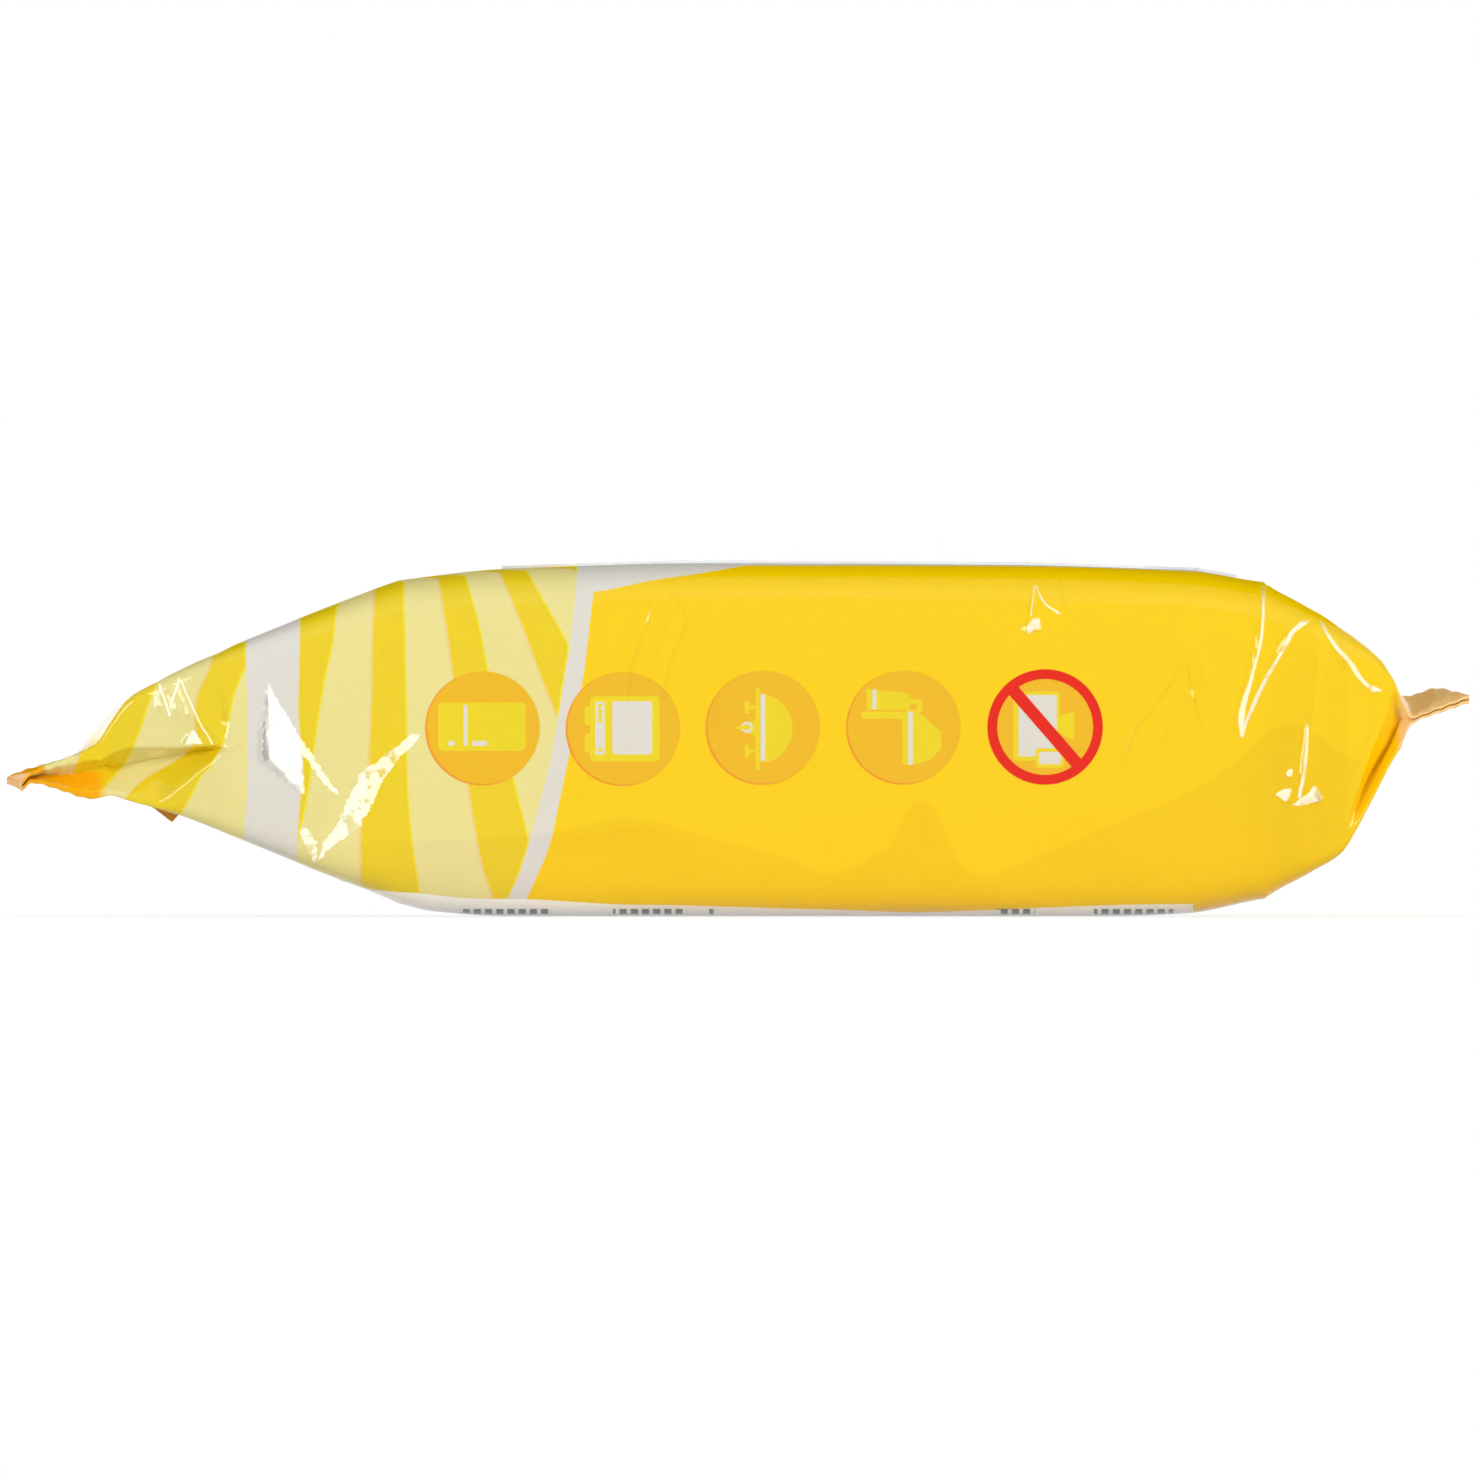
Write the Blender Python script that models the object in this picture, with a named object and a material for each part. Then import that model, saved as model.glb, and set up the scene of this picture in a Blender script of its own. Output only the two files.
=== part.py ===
# Wet wipes pack: a soft film pack that lies on its underside, with a crimped seal at each end,
# sides tucked in between the seals' lips, and a thin reseal label on its top.
# Metres, +Z up. The long side that faces -Y is the front, and the long tapered end points to -X.
import bmesh
import bpy
from mathutils import Vector

# Lengths along the pack
WIPES_LENGTH = 0.147
LEFT_TAPER = 0.055
RIGHT_TAPER = 0.023
SEAL_LENGTH = 0.0115

# Heights and widths of the filled body
EDGE_HEIGHT = 0.0590
CROWN = 0.0012
BODY_WIDTH = 0.112
SIDE_BULGE = 0.0015
EDGE_RADIUS = 0.009

# The ends: how high each seal stands, how far the sides flare and tuck in
LEFT_SEAL_HEIGHT = 0.0240
RIGHT_SEAL_HEIGHT = 0.0370
END_FLARE = 0.007
TUCK_DEPTH = 0.025
FOLD_RADIUS = 0.0005
SEAL_THICKNESS = 0.0009
SEAL_BOW = 0.0034
RIB_HEIGHT = 0.0003
RIBS = 5

# The left seal lies askew: its rear corner is pulled in and hangs, its front corner is pulled in a little
REAR_PULL = 0.027
REAR_DROOP = 0.0055
REAR_START = 0.010
REAR_POWER = 1.5
FRONT_PULL = 0.003
FRONT_START = 0.035
FRONT_PULL_PLACES = (1.0, 1.2)

# The reseal label
LABEL_LENGTH = 0.118
LABEL_WIDTH = 0.072
LABEL_CORNER = 0.018
LABEL_SHIFT = 0.0030
LABEL_THICKNESS = 0.0003
LABEL_GAP = 0.0003
TAB_LENGTH = 0.007
TAB_WIDTH = 0.024
TAB_ROUNDING = 0.8

# Places along the pack are counted in zones: 0 is the left free edge, 1 the left seal's inner edge,
# 2 and 3 the ends of the wipes, 4 the right seal's inner edge and 5 the right free edge.
ZONE_LENGTHS = (SEAL_LENGTH, LEFT_TAPER, WIPES_LENGTH, RIGHT_TAPER, SEAL_LENGTH)
MIDDLE_ZONE = 2.5

# Height of the top's front and rear edges, from 0 at the seal's height to 1 at the body's
TOP_EDGE = (
    (0, -0.03), (0.15, 0.015), (0.55, 0.068), (1, 0.135), (1.075, 0.245), (1.167, 0.37),
    (1.276, 0.46), (1.533, 0.637), (1.816, 0.811), (2, 0.915), (2.12, 0.968), (2.35, 1),
    (2.7, 0.988), (2.91, 0.94), (3, 0.85), (3.265, 0.716), (3.561, 0.53), (3.857, 0.29),
    (3.95, 0.13), (4, 0.01), (4.165, -0.14), (4.5, -0.08), (5, 0.02),
)
# Height of the underside's edges, as a share of the seal's height
BASE_EDGE = (
    (0, 0.883), (0.15, 0.937), (0.55, 0.887), (1, 0.825), (1.09, 0.85), (1.167, 0.817),
    (1.322, 0.717), (1.507, 0.554), (1.785, 0.292), (1.909, 0.183), (2, 0.092), (2.04, 0.035),
    (2.13, 0), (2.82, 0), (2.91, 0.013), (3, 0.08), (3.34, 0.203), (3.561, 0.29),
    (3.674, 0.4), (3.787, 0.532), (3.974, 0.746), (4.165, 0.878), (4.6, 0.932), (5, 0.975),
)
# Heights of the tuck's upper fold, inner fold and lower fold, between the two edges
UPPER_FOLD = (
    (0, 0.647), (0.15, 0.7), (0.55, 0.796), (1, 0.753), (1.047, 0.6), (1.167, 0.515),
    (1.33, 0.473), (1.48, 0.485), (1.65, 0.57), (2, 0.64), (2.8, 0.62), (3.3, 0.3), (3.58, 0.135),
    (3.66, 0.175), (3.75, 0.29), (3.896, 0.56), (3.95, 0.9), (4, 0.89), (4.165, 0.643), (5, 0.615),
)
INNER_FOLD = (
    (0, 0.5), (1, 0.5), (1.1, 0.32), (1.276, 0.395), (1.41, 0.453), (1.48, 0.464), (2, 0.5),
    (2.8, 0.48), (3.3, 0.24), (3.58, 0.1), (3.66, 0.114), (3.75, 0.175), (3.896, 0.2),
    (3.95, 0.27), (4, 0.5), (5, 0.5),
)
LOWER_FOLD = (
    (0, 0.353), (0.15, 0.25), (0.55, 0.143), (1, 0.094), (1.167, 0.053), (1.25, 0.05),
    (1.33, 0.2), (1.42, 0.376), (1.48, 0.44), (1.65, 0.41), (2, 0.36), (2.8, 0.34), (3.3, 0.18),
    (3.58, 0.075), (3.66, 0.028), (3.75, 0.033), (3.95, 0.085), (4, 0.12), (4.165, 0.357), (5, 0.385),
)
# Shares of the tuck's depth, of the flare, of the edge radius and of the filling's thickness
TUCK_SHARE = (
    (0, 1), (1, 1), (1.1, 0.92), (1.276, 0.68), (1.41, 0.3), (1.48, 0), (3.6, 0), (3.66, 0.24),
    (3.75, 0.6), (3.896, 0.88), (4, 1), (5, 1),
)
FLARE_SHARE = (
    (0, 0.57), (1, 0.57), (1.2, 0.71), (1.5, 1), (1.65, 0.86), (1.8, 0.5), (2, 0.14), (2.1, 0),
    (2.9, 0), (3.3, 0.21), (3.6, 0.36), (3.9, 0.43), (5, 0.43),
)
RADIUS_SHARE = (
    (0, 0.1), (1, 0.1), (1.2, 0.18), (1.5, 0.35), (2, 0.9), (2.2, 1), (2.9, 1), (3, 0.9), (3.5, 0.6),
    (3.9, 0.3), (4, 0.1), (5, 0.1),
)
FILL_SHARE = (
    (0, 0), (1.03, 0), (1.1, 0.7), (1.167, 0.87), (1.3, 0.96), (1.5, 1), (3.5, 1), (3.75, 0.97),
    (3.857, 0.88), (3.95, 0.53), (4, 0), (5, 0),
)
# Rise of the top's middle above its edges, in crowns over the body and in seal bows at the ends
CROWN_SHARE = (
    (0, 0), (1.1, 0), (1.5, 0.5), (2, 0.9), (2.2, 1), (2.9, 1), (3.3, 0.4), (4, 0.3), (4.06, 0),
    (5, 0),
)
BOW_SHARE = (
    (0, 0.2), (0.15, -0.1), (0.55, -0.25), (1, -0.45), (1.03, -0.3), (1.075, -0.1), (1.12, 0),
    (3.9, 0), (4, 0.2), (4.165, 1), (4.5, 0.95), (5, 0.06),
)

# Stations between the zones' borders
LEFT_TAPER_STATIONS = (
    1.03, 1.07, 1.11, 1.16, 1.21, 1.27, 1.33, 1.38, 1.43, 1.47, 1.51, 1.57, 1.64, 1.72, 1.81, 1.89, 1.95,
)
BODY_STATIONS = (2.035, 2.08, 2.13, 2.2, 2.32, 2.45, 2.58, 2.7, 2.82, 2.91, 2.96)
RIGHT_TAPER_STATIONS = (3.1, 3.2, 3.3, 3.4, 3.5, 3.58, 3.63, 3.68, 3.73, 3.78, 3.84, 3.9, 3.95)

# How many steps each stretch of a half section takes
SPLIT = 0.58
CENTRE_STEPS = 4
LIP_STEPS = 3
CORNER_STEPS = 3
FOLD_STEPS = 2
SIDE_STEPS = 3
BOW_POWER = 3
FOLD_LIMIT = 0.45
BULGE_FADE = 4

LABEL_COLUMNS = 26
LABEL_ROWS = 8
LABEL_CROWDING = 0.5
TAB_COLUMNS = 5

FILM_COLOUR = (0.94, 0.63, 0.005, 1)
LABEL_COLOUR = (0.74, 0.77, 0.80, 1)


def clear_scene():
    for item in list(bpy.data.objects):
        bpy.data.objects.remove(item, do_unlink=True)


def slope_between(before, after):
    """Slope at a point of a smooth curve that never overshoots its points."""
    if before * after <= 0:
        return 0.0
    return 2 * before * after / (before + after)


def read_curve(curve, place):
    """Value at a place of the smooth curve through (place, value) points."""
    steps = [(b[1] - a[1]) / (b[0] - a[0]) for a, b in zip(curve, curve[1:])]
    index = 0
    while index < len(steps) - 1 and place > curve[index + 1][0]:
        index += 1
    start, end = curve[index], curve[index + 1]
    slope_in = slope_between(steps[index - 1], steps[index]) if index > 0 else steps[index]
    slope_out = slope_between(steps[index], steps[index + 1]) if index < len(steps) - 1 else steps[index]
    width = end[0] - start[0]
    t = min(max((place - start[0]) / width, 0.0), 1.0)
    rise = end[1] - start[1]
    value = start[1] + rise * t * t * (3 - 2 * t)
    return value + width * t * (1 - t) * (slope_in * (1 - t) - slope_out * t)


def ease(value):
    """Smooth step from 0 to 1."""
    t = min(max(value, 0.0), 1.0)
    return t * t * (3 - 2 * t)


def place_x(place):
    """Distance along the pack, from the middle of its length, of a place counted in zones."""
    zone = min(int(place), len(ZONE_LENGTHS) - 1)
    passed = sum(ZONE_LENGTHS[:zone]) + (place - zone) * ZONE_LENGTHS[zone]
    return passed - sum(ZONE_LENGTHS) / 2


def zone_place(x):
    """Place in zones of a distance along the pack, the inverse of place_x."""
    left = x + sum(ZONE_LENGTHS) / 2
    for zone, length in enumerate(ZONE_LENGTHS):
        if left <= length or zone == len(ZONE_LENGTHS) - 1:
            return zone + left / length
        left -= length


def seal_height(place):
    return LEFT_SEAL_HEIGHT if place < MIDDLE_ZONE else RIGHT_SEAL_HEIGHT


def rib_lift(place):
    """Height of the crimped ribs, which run across the pack over both seals."""
    share = place if place < MIDDLE_ZONE else len(ZONE_LENGTHS) - place
    if share >= 1:
        return 0.0
    return RIB_HEIGHT * (round(share * 2 * RIBS) % 2)


def half_width(place):
    return BODY_WIDTH / 2 + END_FLARE * read_curve(FLARE_SHARE, place)


def top_edge(place):
    seal = seal_height(place)
    return seal + (EDGE_HEIGHT - seal) * read_curve(TOP_EDGE, place) + rib_lift(place)


def base_edge(place):
    return seal_height(place) * read_curve(BASE_EDGE, place) + rib_lift(place)


def top_middle(place):
    rise = CROWN * read_curve(CROWN_SHARE, place) + SEAL_BOW * read_curve(BOW_SHARE, place)
    return top_edge(place) + rise


def base_middle(place):
    thin = top_middle(place) - SEAL_THICKNESS
    return thin + (base_edge(place) - thin) * read_curve(FILL_SHARE, place)


def across(middle, edge, share):
    """Height at a share of the half width, between the middle's height and the edge's."""
    return middle + (edge - middle) * abs(share) ** BOW_POWER


def side_reach(place, z):
    """How far out the side stands at a height: the half width and the side's bulge."""
    low, high = base_edge(place), top_edge(place)
    share = (z - low) / (high - low)
    filled = 1 - read_curve(TUCK_SHARE, place)
    return half_width(place) + SIDE_BULGE * filled * (1 - (2 * share - 1) ** 2)


def rounded_corner(start, corner, end, steps):
    """Points of a soft corner after its start, up to its end."""
    points = []
    for step in range(1, steps + 1):
        t = step / steps
        first = start.lerp(corner, t)
        points.append(first.lerp(corner.lerp(end, t), t))
    return points


def straight(start, end, steps):
    """Points of a straight stretch after its start, up to its end."""
    return [start.lerp(end, step / steps) for step in range(1, steps + 1)]


def surface_points(middle, edge, reach, shares):
    """Points of the top or the underside at shares of the half width."""
    return [Vector((reach * share, across(middle, edge, share))) for share in shares]


def half_section(place):
    """Half of the section at a place, from the top's middle round to the underside's middle."""
    reach = half_width(place)
    high, low = top_edge(place), base_edge(place)
    top, base = top_middle(place), base_middle(place)
    height = high - low
    upper_z = low + height * read_curve(UPPER_FOLD, place)
    lower_z = low + height * read_curve(LOWER_FOLD, place)
    radius = EDGE_RADIUS * read_curve(RADIUS_SHARE, place)
    top_radius = min(radius, FOLD_LIMIT * (high - upper_z))
    base_radius = min(radius, FOLD_LIMIT * (lower_z - low))
    fold = min(FOLD_RADIUS, FOLD_LIMIT * (high - upper_z), FOLD_LIMIT * (lower_z - low))

    inner_y = reach - TUCK_DEPTH * read_curve(TUCK_SHARE, place)
    inner_high = across(top, high, inner_y / reach)
    inner_low = across(base, low, inner_y / reach)
    inner_z = inner_low + (inner_high - inner_low) * read_curve(INNER_FOLD, place)
    untucked = 1 - min(1.0, BULGE_FADE * read_curve(TUCK_SHARE, place))
    inner_y += (side_reach(place, inner_z) - reach) * untucked

    inner = Vector((inner_y, inner_z))
    upper = Vector((side_reach(place, upper_z), upper_z))
    lower = Vector((side_reach(place, lower_z), lower_z))
    top_corner = Vector((reach, high))
    base_corner = Vector((reach, low))

    centre_shares = [SPLIT * step / CENTRE_STEPS for step in range(CENTRE_STEPS + 1)]
    top_turn = 1 - top_radius / reach
    base_turn = 1 - base_radius / reach
    top_shares = [SPLIT + (top_turn - SPLIT) * step / LIP_STEPS for step in range(1, LIP_STEPS + 1)]
    base_shares = [SPLIT + (base_turn - SPLIT) * step / LIP_STEPS for step in range(LIP_STEPS, 0, -1)]

    points = surface_points(top, high, reach, centre_shares + top_shares)
    side_top = Vector((side_reach(place, high - top_radius), high - top_radius))
    points += rounded_corner(points[-1], top_corner, side_top, CORNER_STEPS)
    above_upper = Vector((side_reach(place, upper_z + fold), upper_z + fold))
    points += side_stretch(place, side_top.y, above_upper.y)
    past_upper = upper + (inner - upper).normalized() * min(fold, FOLD_LIMIT * (inner - upper).length)
    points += rounded_corner(above_upper, upper, past_upper, FOLD_STEPS)
    points += straight(past_upper, inner, LIP_STEPS)
    before_lower = lower + (inner - lower).normalized() * min(fold, FOLD_LIMIT * (inner - lower).length)
    points += straight(inner, before_lower, LIP_STEPS)
    below_lower = Vector((side_reach(place, lower_z - fold), lower_z - fold))
    points += rounded_corner(before_lower, lower, below_lower, FOLD_STEPS)
    side_base = Vector((side_reach(place, low + base_radius), low + base_radius))
    points += side_stretch(place, below_lower.y, side_base.y)
    underside = surface_points(base, low, reach, base_shares)
    points += rounded_corner(side_base, base_corner, underside[0], CORNER_STEPS)
    points += underside[1:]
    points += surface_points(base, low, reach, centre_shares[::-1])
    return points


def side_stretch(place, start_z, end_z):
    """Points down the side between two heights, which follow its bulge."""
    heights = [start_z + (end_z - start_z) * step / SIDE_STEPS for step in range(1, SIDE_STEPS + 1)]
    return [Vector((side_reach(place, z), z)) for z in heights]


def askew(place, y, z):
    """Where the left end's skew moves a point: the pull along the pack and the rear corner's droop."""
    reach = half_width(place)
    rear = max(0.0, y + REAR_START) / (reach + REAR_START)
    front = max(0.0, -y - FRONT_START) / (reach - FRONT_START)
    rear_weight = ease(2 - place)
    full, none = FRONT_PULL_PLACES
    front_weight = ease((none - place) / (none - full))
    pull = REAR_PULL * rear_weight * rear ** REAR_POWER + FRONT_PULL * front_weight * front
    droop = REAR_DROOP * rear_weight * (max(0.0, y) / reach) ** 2
    return pull, z - droop


def section_points(place):
    """The whole section as a closed ring, from the top's middle round the front to the rear."""
    half = half_section(place)
    front = [(-point.x, point.y) for point in half]
    rear = [(point.x, point.y) for point in reversed(half[1:-1])]
    ring = []
    for y, z in front + rear:
        pull, height = askew(place, y, z)
        ring.append(Vector((place_x(place) + pull, y, height)))
    return ring


def half_cap(last):
    """Faces that close one half of an end: a strip at the centre and two lips with round noses."""
    lip_in = CENTRE_STEPS
    lip_out = CENTRE_STEPS + LIP_STEPS
    inner = last // 2
    faces = [(k, k + 1, last - k - 1, last - k) for k in range(lip_in)]
    faces.append((lip_in, inner, last - lip_in))
    for k in range(LIP_STEPS):
        faces.append((lip_in + k, lip_in + k + 1, inner - k - 1, inner - k))
        faces.append((inner + k, inner + k + 1, last - lip_in - k - 1, last - lip_in - k))
    faces.append(tuple(range(lip_out, inner - LIP_STEPS + 1)))
    faces.append(tuple(range(inner + LIP_STEPS, last - lip_out + 1)))
    return faces


def cap_faces(ring_size):
    """Faces of one whole end, as places in the ring."""
    last = ring_size // 2
    front = half_cap(last)
    rear = [tuple((ring_size - k) % ring_size for k in reversed(face)) for face in front]
    return front + rear


def all_stations():
    ribs = [step / (2 * RIBS) for step in range(2 * RIBS + 1)]
    right_end = len(ZONE_LENGTHS) - 1
    stations = ribs + list(LEFT_TAPER_STATIONS) + [2] + list(BODY_STATIONS) + [3]
    return stations + list(RIGHT_TAPER_STATIONS) + [right_end + share for share in ribs]


def make_material(name, colour, roughness):
    material = bpy.data.materials.new(name)
    material.use_nodes = True
    shader = material.node_tree.nodes["Principled BSDF"]
    shader.inputs["Base Color"].default_value = colour
    shader.inputs["Roughness"].default_value = roughness
    shader.inputs["Metallic"].default_value = 0.0
    return material


def add_object(name, builder, material):
    mesh = bpy.data.meshes.new(name)
    builder.to_mesh(mesh)
    builder.free()
    item = bpy.data.objects.new(name, mesh)
    item.data.materials.append(material)
    bpy.context.scene.collection.objects.link(item)
    return item


def make_film_pack():
    """The filled film pack: its left free edge is extruded from station to station."""
    builder = bmesh.new()
    order = builder.verts.layers.int.new("order")
    stations = all_stations()
    first = section_points(stations[0])
    corners = [builder.verts.new(point) for point in first]
    for number, corner in enumerate(corners):
        corner[order] = number
    start_faces = [builder.faces.new([corners[k] for k in face]) for face in cap_faces(len(first))]
    faces = start_faces
    for place in stations[1:]:
        ring = section_points(place)
        grown = bmesh.ops.extrude_face_region(builder, geom=faces)["geom"]
        if faces is not start_faces:
            bmesh.ops.delete(builder, geom=faces, context="FACES")
        for item in grown:
            if isinstance(item, bmesh.types.BMVert):
                item.co = ring[item[order]]
        faces = [item for item in grown if isinstance(item, bmesh.types.BMFace)]
    bmesh.ops.triangulate(builder, faces=builder.faces)
    bmesh.ops.recalc_face_normals(builder, faces=builder.faces)
    material = make_material("printed film", FILM_COLOUR, 0.22)
    return add_object("film_pack", builder, material)


def film_top(x, y):
    """Height of the film's top under the label."""
    place = zone_place(x)
    return across(top_middle(place), top_edge(place), y / half_width(place))


def label_half_width(x, start, end):
    """Half the label's width at a place along it: round corners, then the tab."""
    if x > end:
        share = (x - end) / TAB_LENGTH
        return TAB_WIDTH / 2 * (1 - TAB_ROUNDING * share ** 2)
    depth = min(x - start, end - x, LABEL_CORNER)
    rise = (LABEL_CORNER ** 2 - (LABEL_CORNER - depth) ** 2) ** 0.5
    return LABEL_WIDTH / 2 - LABEL_CORNER + rise


def label_columns(start, end):
    """Places along the label, closer together at its round ends, with the tab's places last."""
    middle, reach = (start + end) / 2, (end - start) / 2
    columns = []
    for step in range(LABEL_COLUMNS + 1):
        share = 2 * step / LABEL_COLUMNS - 1
        columns.append(middle + reach * (share + LABEL_CROWDING * (share - share ** 3)))
    return columns + [end + TAB_LENGTH * step / TAB_COLUMNS for step in range(1, TAB_COLUMNS + 1)]


def make_reseal_label():
    """The thin adhesive label, which follows the film's top a hair above it."""
    wipes_middle = (place_x(2) + place_x(3)) / 2
    start = wipes_middle + LABEL_SHIFT - LABEL_LENGTH / 2
    end = start + LABEL_LENGTH
    builder = bmesh.new()
    columns = []
    for x in label_columns(start, end):
        half = label_half_width(x, start, end)
        column = []
        for row in range(LABEL_ROWS + 1):
            y = half * (2 * row / LABEL_ROWS - 1)
            column.append(builder.verts.new((x, y, film_top(x, y) + LABEL_GAP)))
        columns.append(column)
    for left, right in zip(columns, columns[1:]):
        for row in range(LABEL_ROWS):
            builder.faces.new((left[row], right[row], right[row + 1], left[row + 1]))
    material = make_material("label film", LABEL_COLOUR, 0.3)
    label = add_object("reseal_label", builder, material)
    thickness = label.modifiers.new("label thickness", "SOLIDIFY")
    thickness.thickness = LABEL_THICKNESS
    thickness.offset = 1
    return label


def centre_on_base(film, others):
    """Moves every piece so that the middle of the pack's box stands over the origin, on z = 0."""
    corners = [vertex.co for vertex in film.data.vertices]
    low = Vector([min(corner[axis] for corner in corners) for axis in range(3)])
    high = Vector([max(corner[axis] for corner in corners) for axis in range(3)])
    shift = Vector(((low.x + high.x) / 2, (low.y + high.y) / 2, low.z))
    for item in [film] + others:
        item.location = -shift


def main():
    clear_scene()
    film = make_film_pack()
    label = make_reseal_label()
    centre_on_base(film, [label])


main()
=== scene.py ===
import math

import bpy
import numpy as np
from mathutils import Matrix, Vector


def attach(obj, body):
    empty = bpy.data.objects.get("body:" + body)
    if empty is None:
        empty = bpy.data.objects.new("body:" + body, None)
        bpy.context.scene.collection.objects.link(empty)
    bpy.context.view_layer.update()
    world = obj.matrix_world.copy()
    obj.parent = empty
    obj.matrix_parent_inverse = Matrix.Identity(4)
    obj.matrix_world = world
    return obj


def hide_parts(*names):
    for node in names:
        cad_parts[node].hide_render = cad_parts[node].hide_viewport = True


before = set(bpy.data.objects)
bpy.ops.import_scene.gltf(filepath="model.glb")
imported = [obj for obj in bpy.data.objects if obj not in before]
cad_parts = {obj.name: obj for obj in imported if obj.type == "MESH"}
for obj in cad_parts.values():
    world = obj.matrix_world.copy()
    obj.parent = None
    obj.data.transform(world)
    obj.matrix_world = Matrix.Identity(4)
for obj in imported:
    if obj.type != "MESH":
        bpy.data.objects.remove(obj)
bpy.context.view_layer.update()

MM = 0.001

# The film's sizes in metres, and the plain numbers that shape it, as in the solid model
WIPES_LENGTH = 0.147
LEFT_TAPER = 0.055
RIGHT_TAPER = 0.023
SEAL_LENGTH = 0.0115
EDGE_HEIGHT = 0.0590
CROWN = 0.0012
BODY_WIDTH = 0.112
SIDE_BULGE = 0.0015
EDGE_RADIUS = 0.009
LEFT_SEAL_HEIGHT = 0.0240
RIGHT_SEAL_HEIGHT = 0.0370
END_FLARE = 0.007
FOLD_RADIUS = 0.0005
SEAL_THICKNESS = 0.0009
SEAL_BOW = 0.0034
RIB_HEIGHT = 0.0002
RIBS = 5
REAR_PULL = 0.027
REAR_DROOP = 0.0055
REAR_START = 0.010
REAR_POWER = 1.5
DROOP_POWER = 5
FRONT_PULL = 0.003
FRONT_START = 0.035
FRONT_PULL_PLACES = (1.0, 1.2)
SPLIT = 0.58
BOW_POWER = 3
FOLD_LIMIT = 0.45
BULGE_FADE = 4

# Places along the film are counted in zones: 0 is the left free edge, 1 the left seal's inner edge,
# 2 and 3 the ends of the wipes, 4 the right seal's inner edge and 5 the right free edge.
ZONE_LENGTHS = (SEAL_LENGTH, LEFT_TAPER, WIPES_LENGTH, RIGHT_TAPER, SEAL_LENGTH)
MIDDLE_ZONE = 2.5

# Curves along the film, as (zone, value) points. TOP_EDGE goes from the seal's height, at 0, to the full
# one, at 1. BASE_EDGE is a share of the seal's height, the folds are shares of the side's height,
# TUCK_DEPTH is in metres, and the rest are shares of the size that they are named for.
TOP_EDGE = (
    (0, -0.03), (0.15, 0.015), (0.55, 0.068), (1, 0.135), (1.075, 0.245), (1.167, 0.37),
    (1.276, 0.46), (1.533, 0.637), (1.816, 0.811), (2, 0.915), (2.12, 0.968), (2.35, 1),
    (2.7, 0.988), (2.91, 0.94), (3, 0.85), (3.265, 0.716), (3.561, 0.53), (3.857, 0.29),
    (3.95, 0.13), (4, 0.01), (4.165, -0.14), (4.5, -0.08), (5, 0.02),
)
BASE_EDGE = (
    (0, 0.883), (0.15, 0.937), (0.55, 0.887), (1, 0.825), (1.09, 0.85), (1.167, 0.817),
    (1.322, 0.717), (1.507, 0.554), (1.785, 0.292), (1.909, 0.183), (2, 0.092), (2.04, 0.035),
    (2.13, 0), (2.82, 0), (2.91, 0.013), (3, 0.08), (3.34, 0.203), (3.561, 0.29),
    (3.674, 0.4), (3.787, 0.532), (3.974, 0.746), (4.165, 0.878), (4.6, 0.932), (5, 0.975),
)
UPPER_FOLD = (
    (0, 0.647), (0.15, 0.7), (0.55, 0.796), (1, 0.753), (1.047, 0.6), (1.167, 0.515),
    (1.33, 0.473), (1.48, 0.485), (1.65, 0.57), (2, 0.64), (2.8, 0.62), (3.3, 0.3), (3.58, 0.135),
    (3.66, 0.175), (3.75, 0.29), (3.896, 0.56), (3.95, 0.9), (4, 0.89), (4.165, 0.643), (5, 0.615),
)
INNER_FOLD = (
    (0, 0.5), (1, 0.5), (1.1, 0.32), (1.276, 0.395), (1.41, 0.453), (1.48, 0.464), (2, 0.5),
    (2.8, 0.48), (3.3, 0.24), (3.58, 0.1), (3.66, 0.114), (3.75, 0.175), (3.896, 0.2),
    (3.95, 0.27), (4, 0.5), (5, 0.5),
)
LOWER_FOLD = (
    (0, 0.353), (0.15, 0.25), (0.55, 0.143), (1, 0.094), (1.167, 0.053), (1.25, 0.05),
    (1.33, 0.2), (1.42, 0.376), (1.48, 0.44), (1.65, 0.41), (2, 0.36), (2.8, 0.34), (3.3, 0.18),
    (3.58, 0.075), (3.66, 0.028), (3.75, 0.033), (3.95, 0.085), (4, 0.12), (4.165, 0.357), (5, 0.385),
)
TUCK_SHARE = (
    (0, 1), (1, 1), (1.1, 0.92), (1.276, 0.68), (1.41, 0.3), (1.48, 0), (3.6, 0), (3.66, 0.24),
    (3.75, 0.6), (3.896, 0.88), (4, 1), (5, 1),
)
TUCK_DEPTH = (
    (0, 0.003), (1, 0.003), (1.1, 0.005), (1.25, 0.0065), (1.48, 0.007), (3.6, 0.003), (3.8, 0.0034),
    (4, 0.0026), (4.1, 0.001), (5, 0.001),
)
FLARE_SHARE = (
    (0, 0.57), (1, 0.57), (1.2, 0.71), (1.5, 1), (1.65, 0.86), (1.8, 0.5), (2, 0.14), (2.1, 0),
    (2.9, 0), (3.3, 0.21), (3.6, 0.36), (3.9, 0.43), (5, 0.43),
)
RADIUS_SHARE = (
    (0, 0.1), (1, 0.1), (1.2, 0.18), (1.5, 0.35), (2, 0.9), (2.2, 1), (2.9, 1), (3, 0.9), (3.5, 0.6),
    (3.9, 0.3), (4, 0.1), (5, 0.1),
)
FILL_SHARE = (
    (0, 0), (1.03, 0), (1.1, 0.7), (1.167, 0.87), (1.3, 0.96), (1.5, 1), (3.5, 1), (3.75, 0.97),
    (3.857, 0.88), (3.95, 0.53), (4, 0), (5, 0),
)
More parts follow.
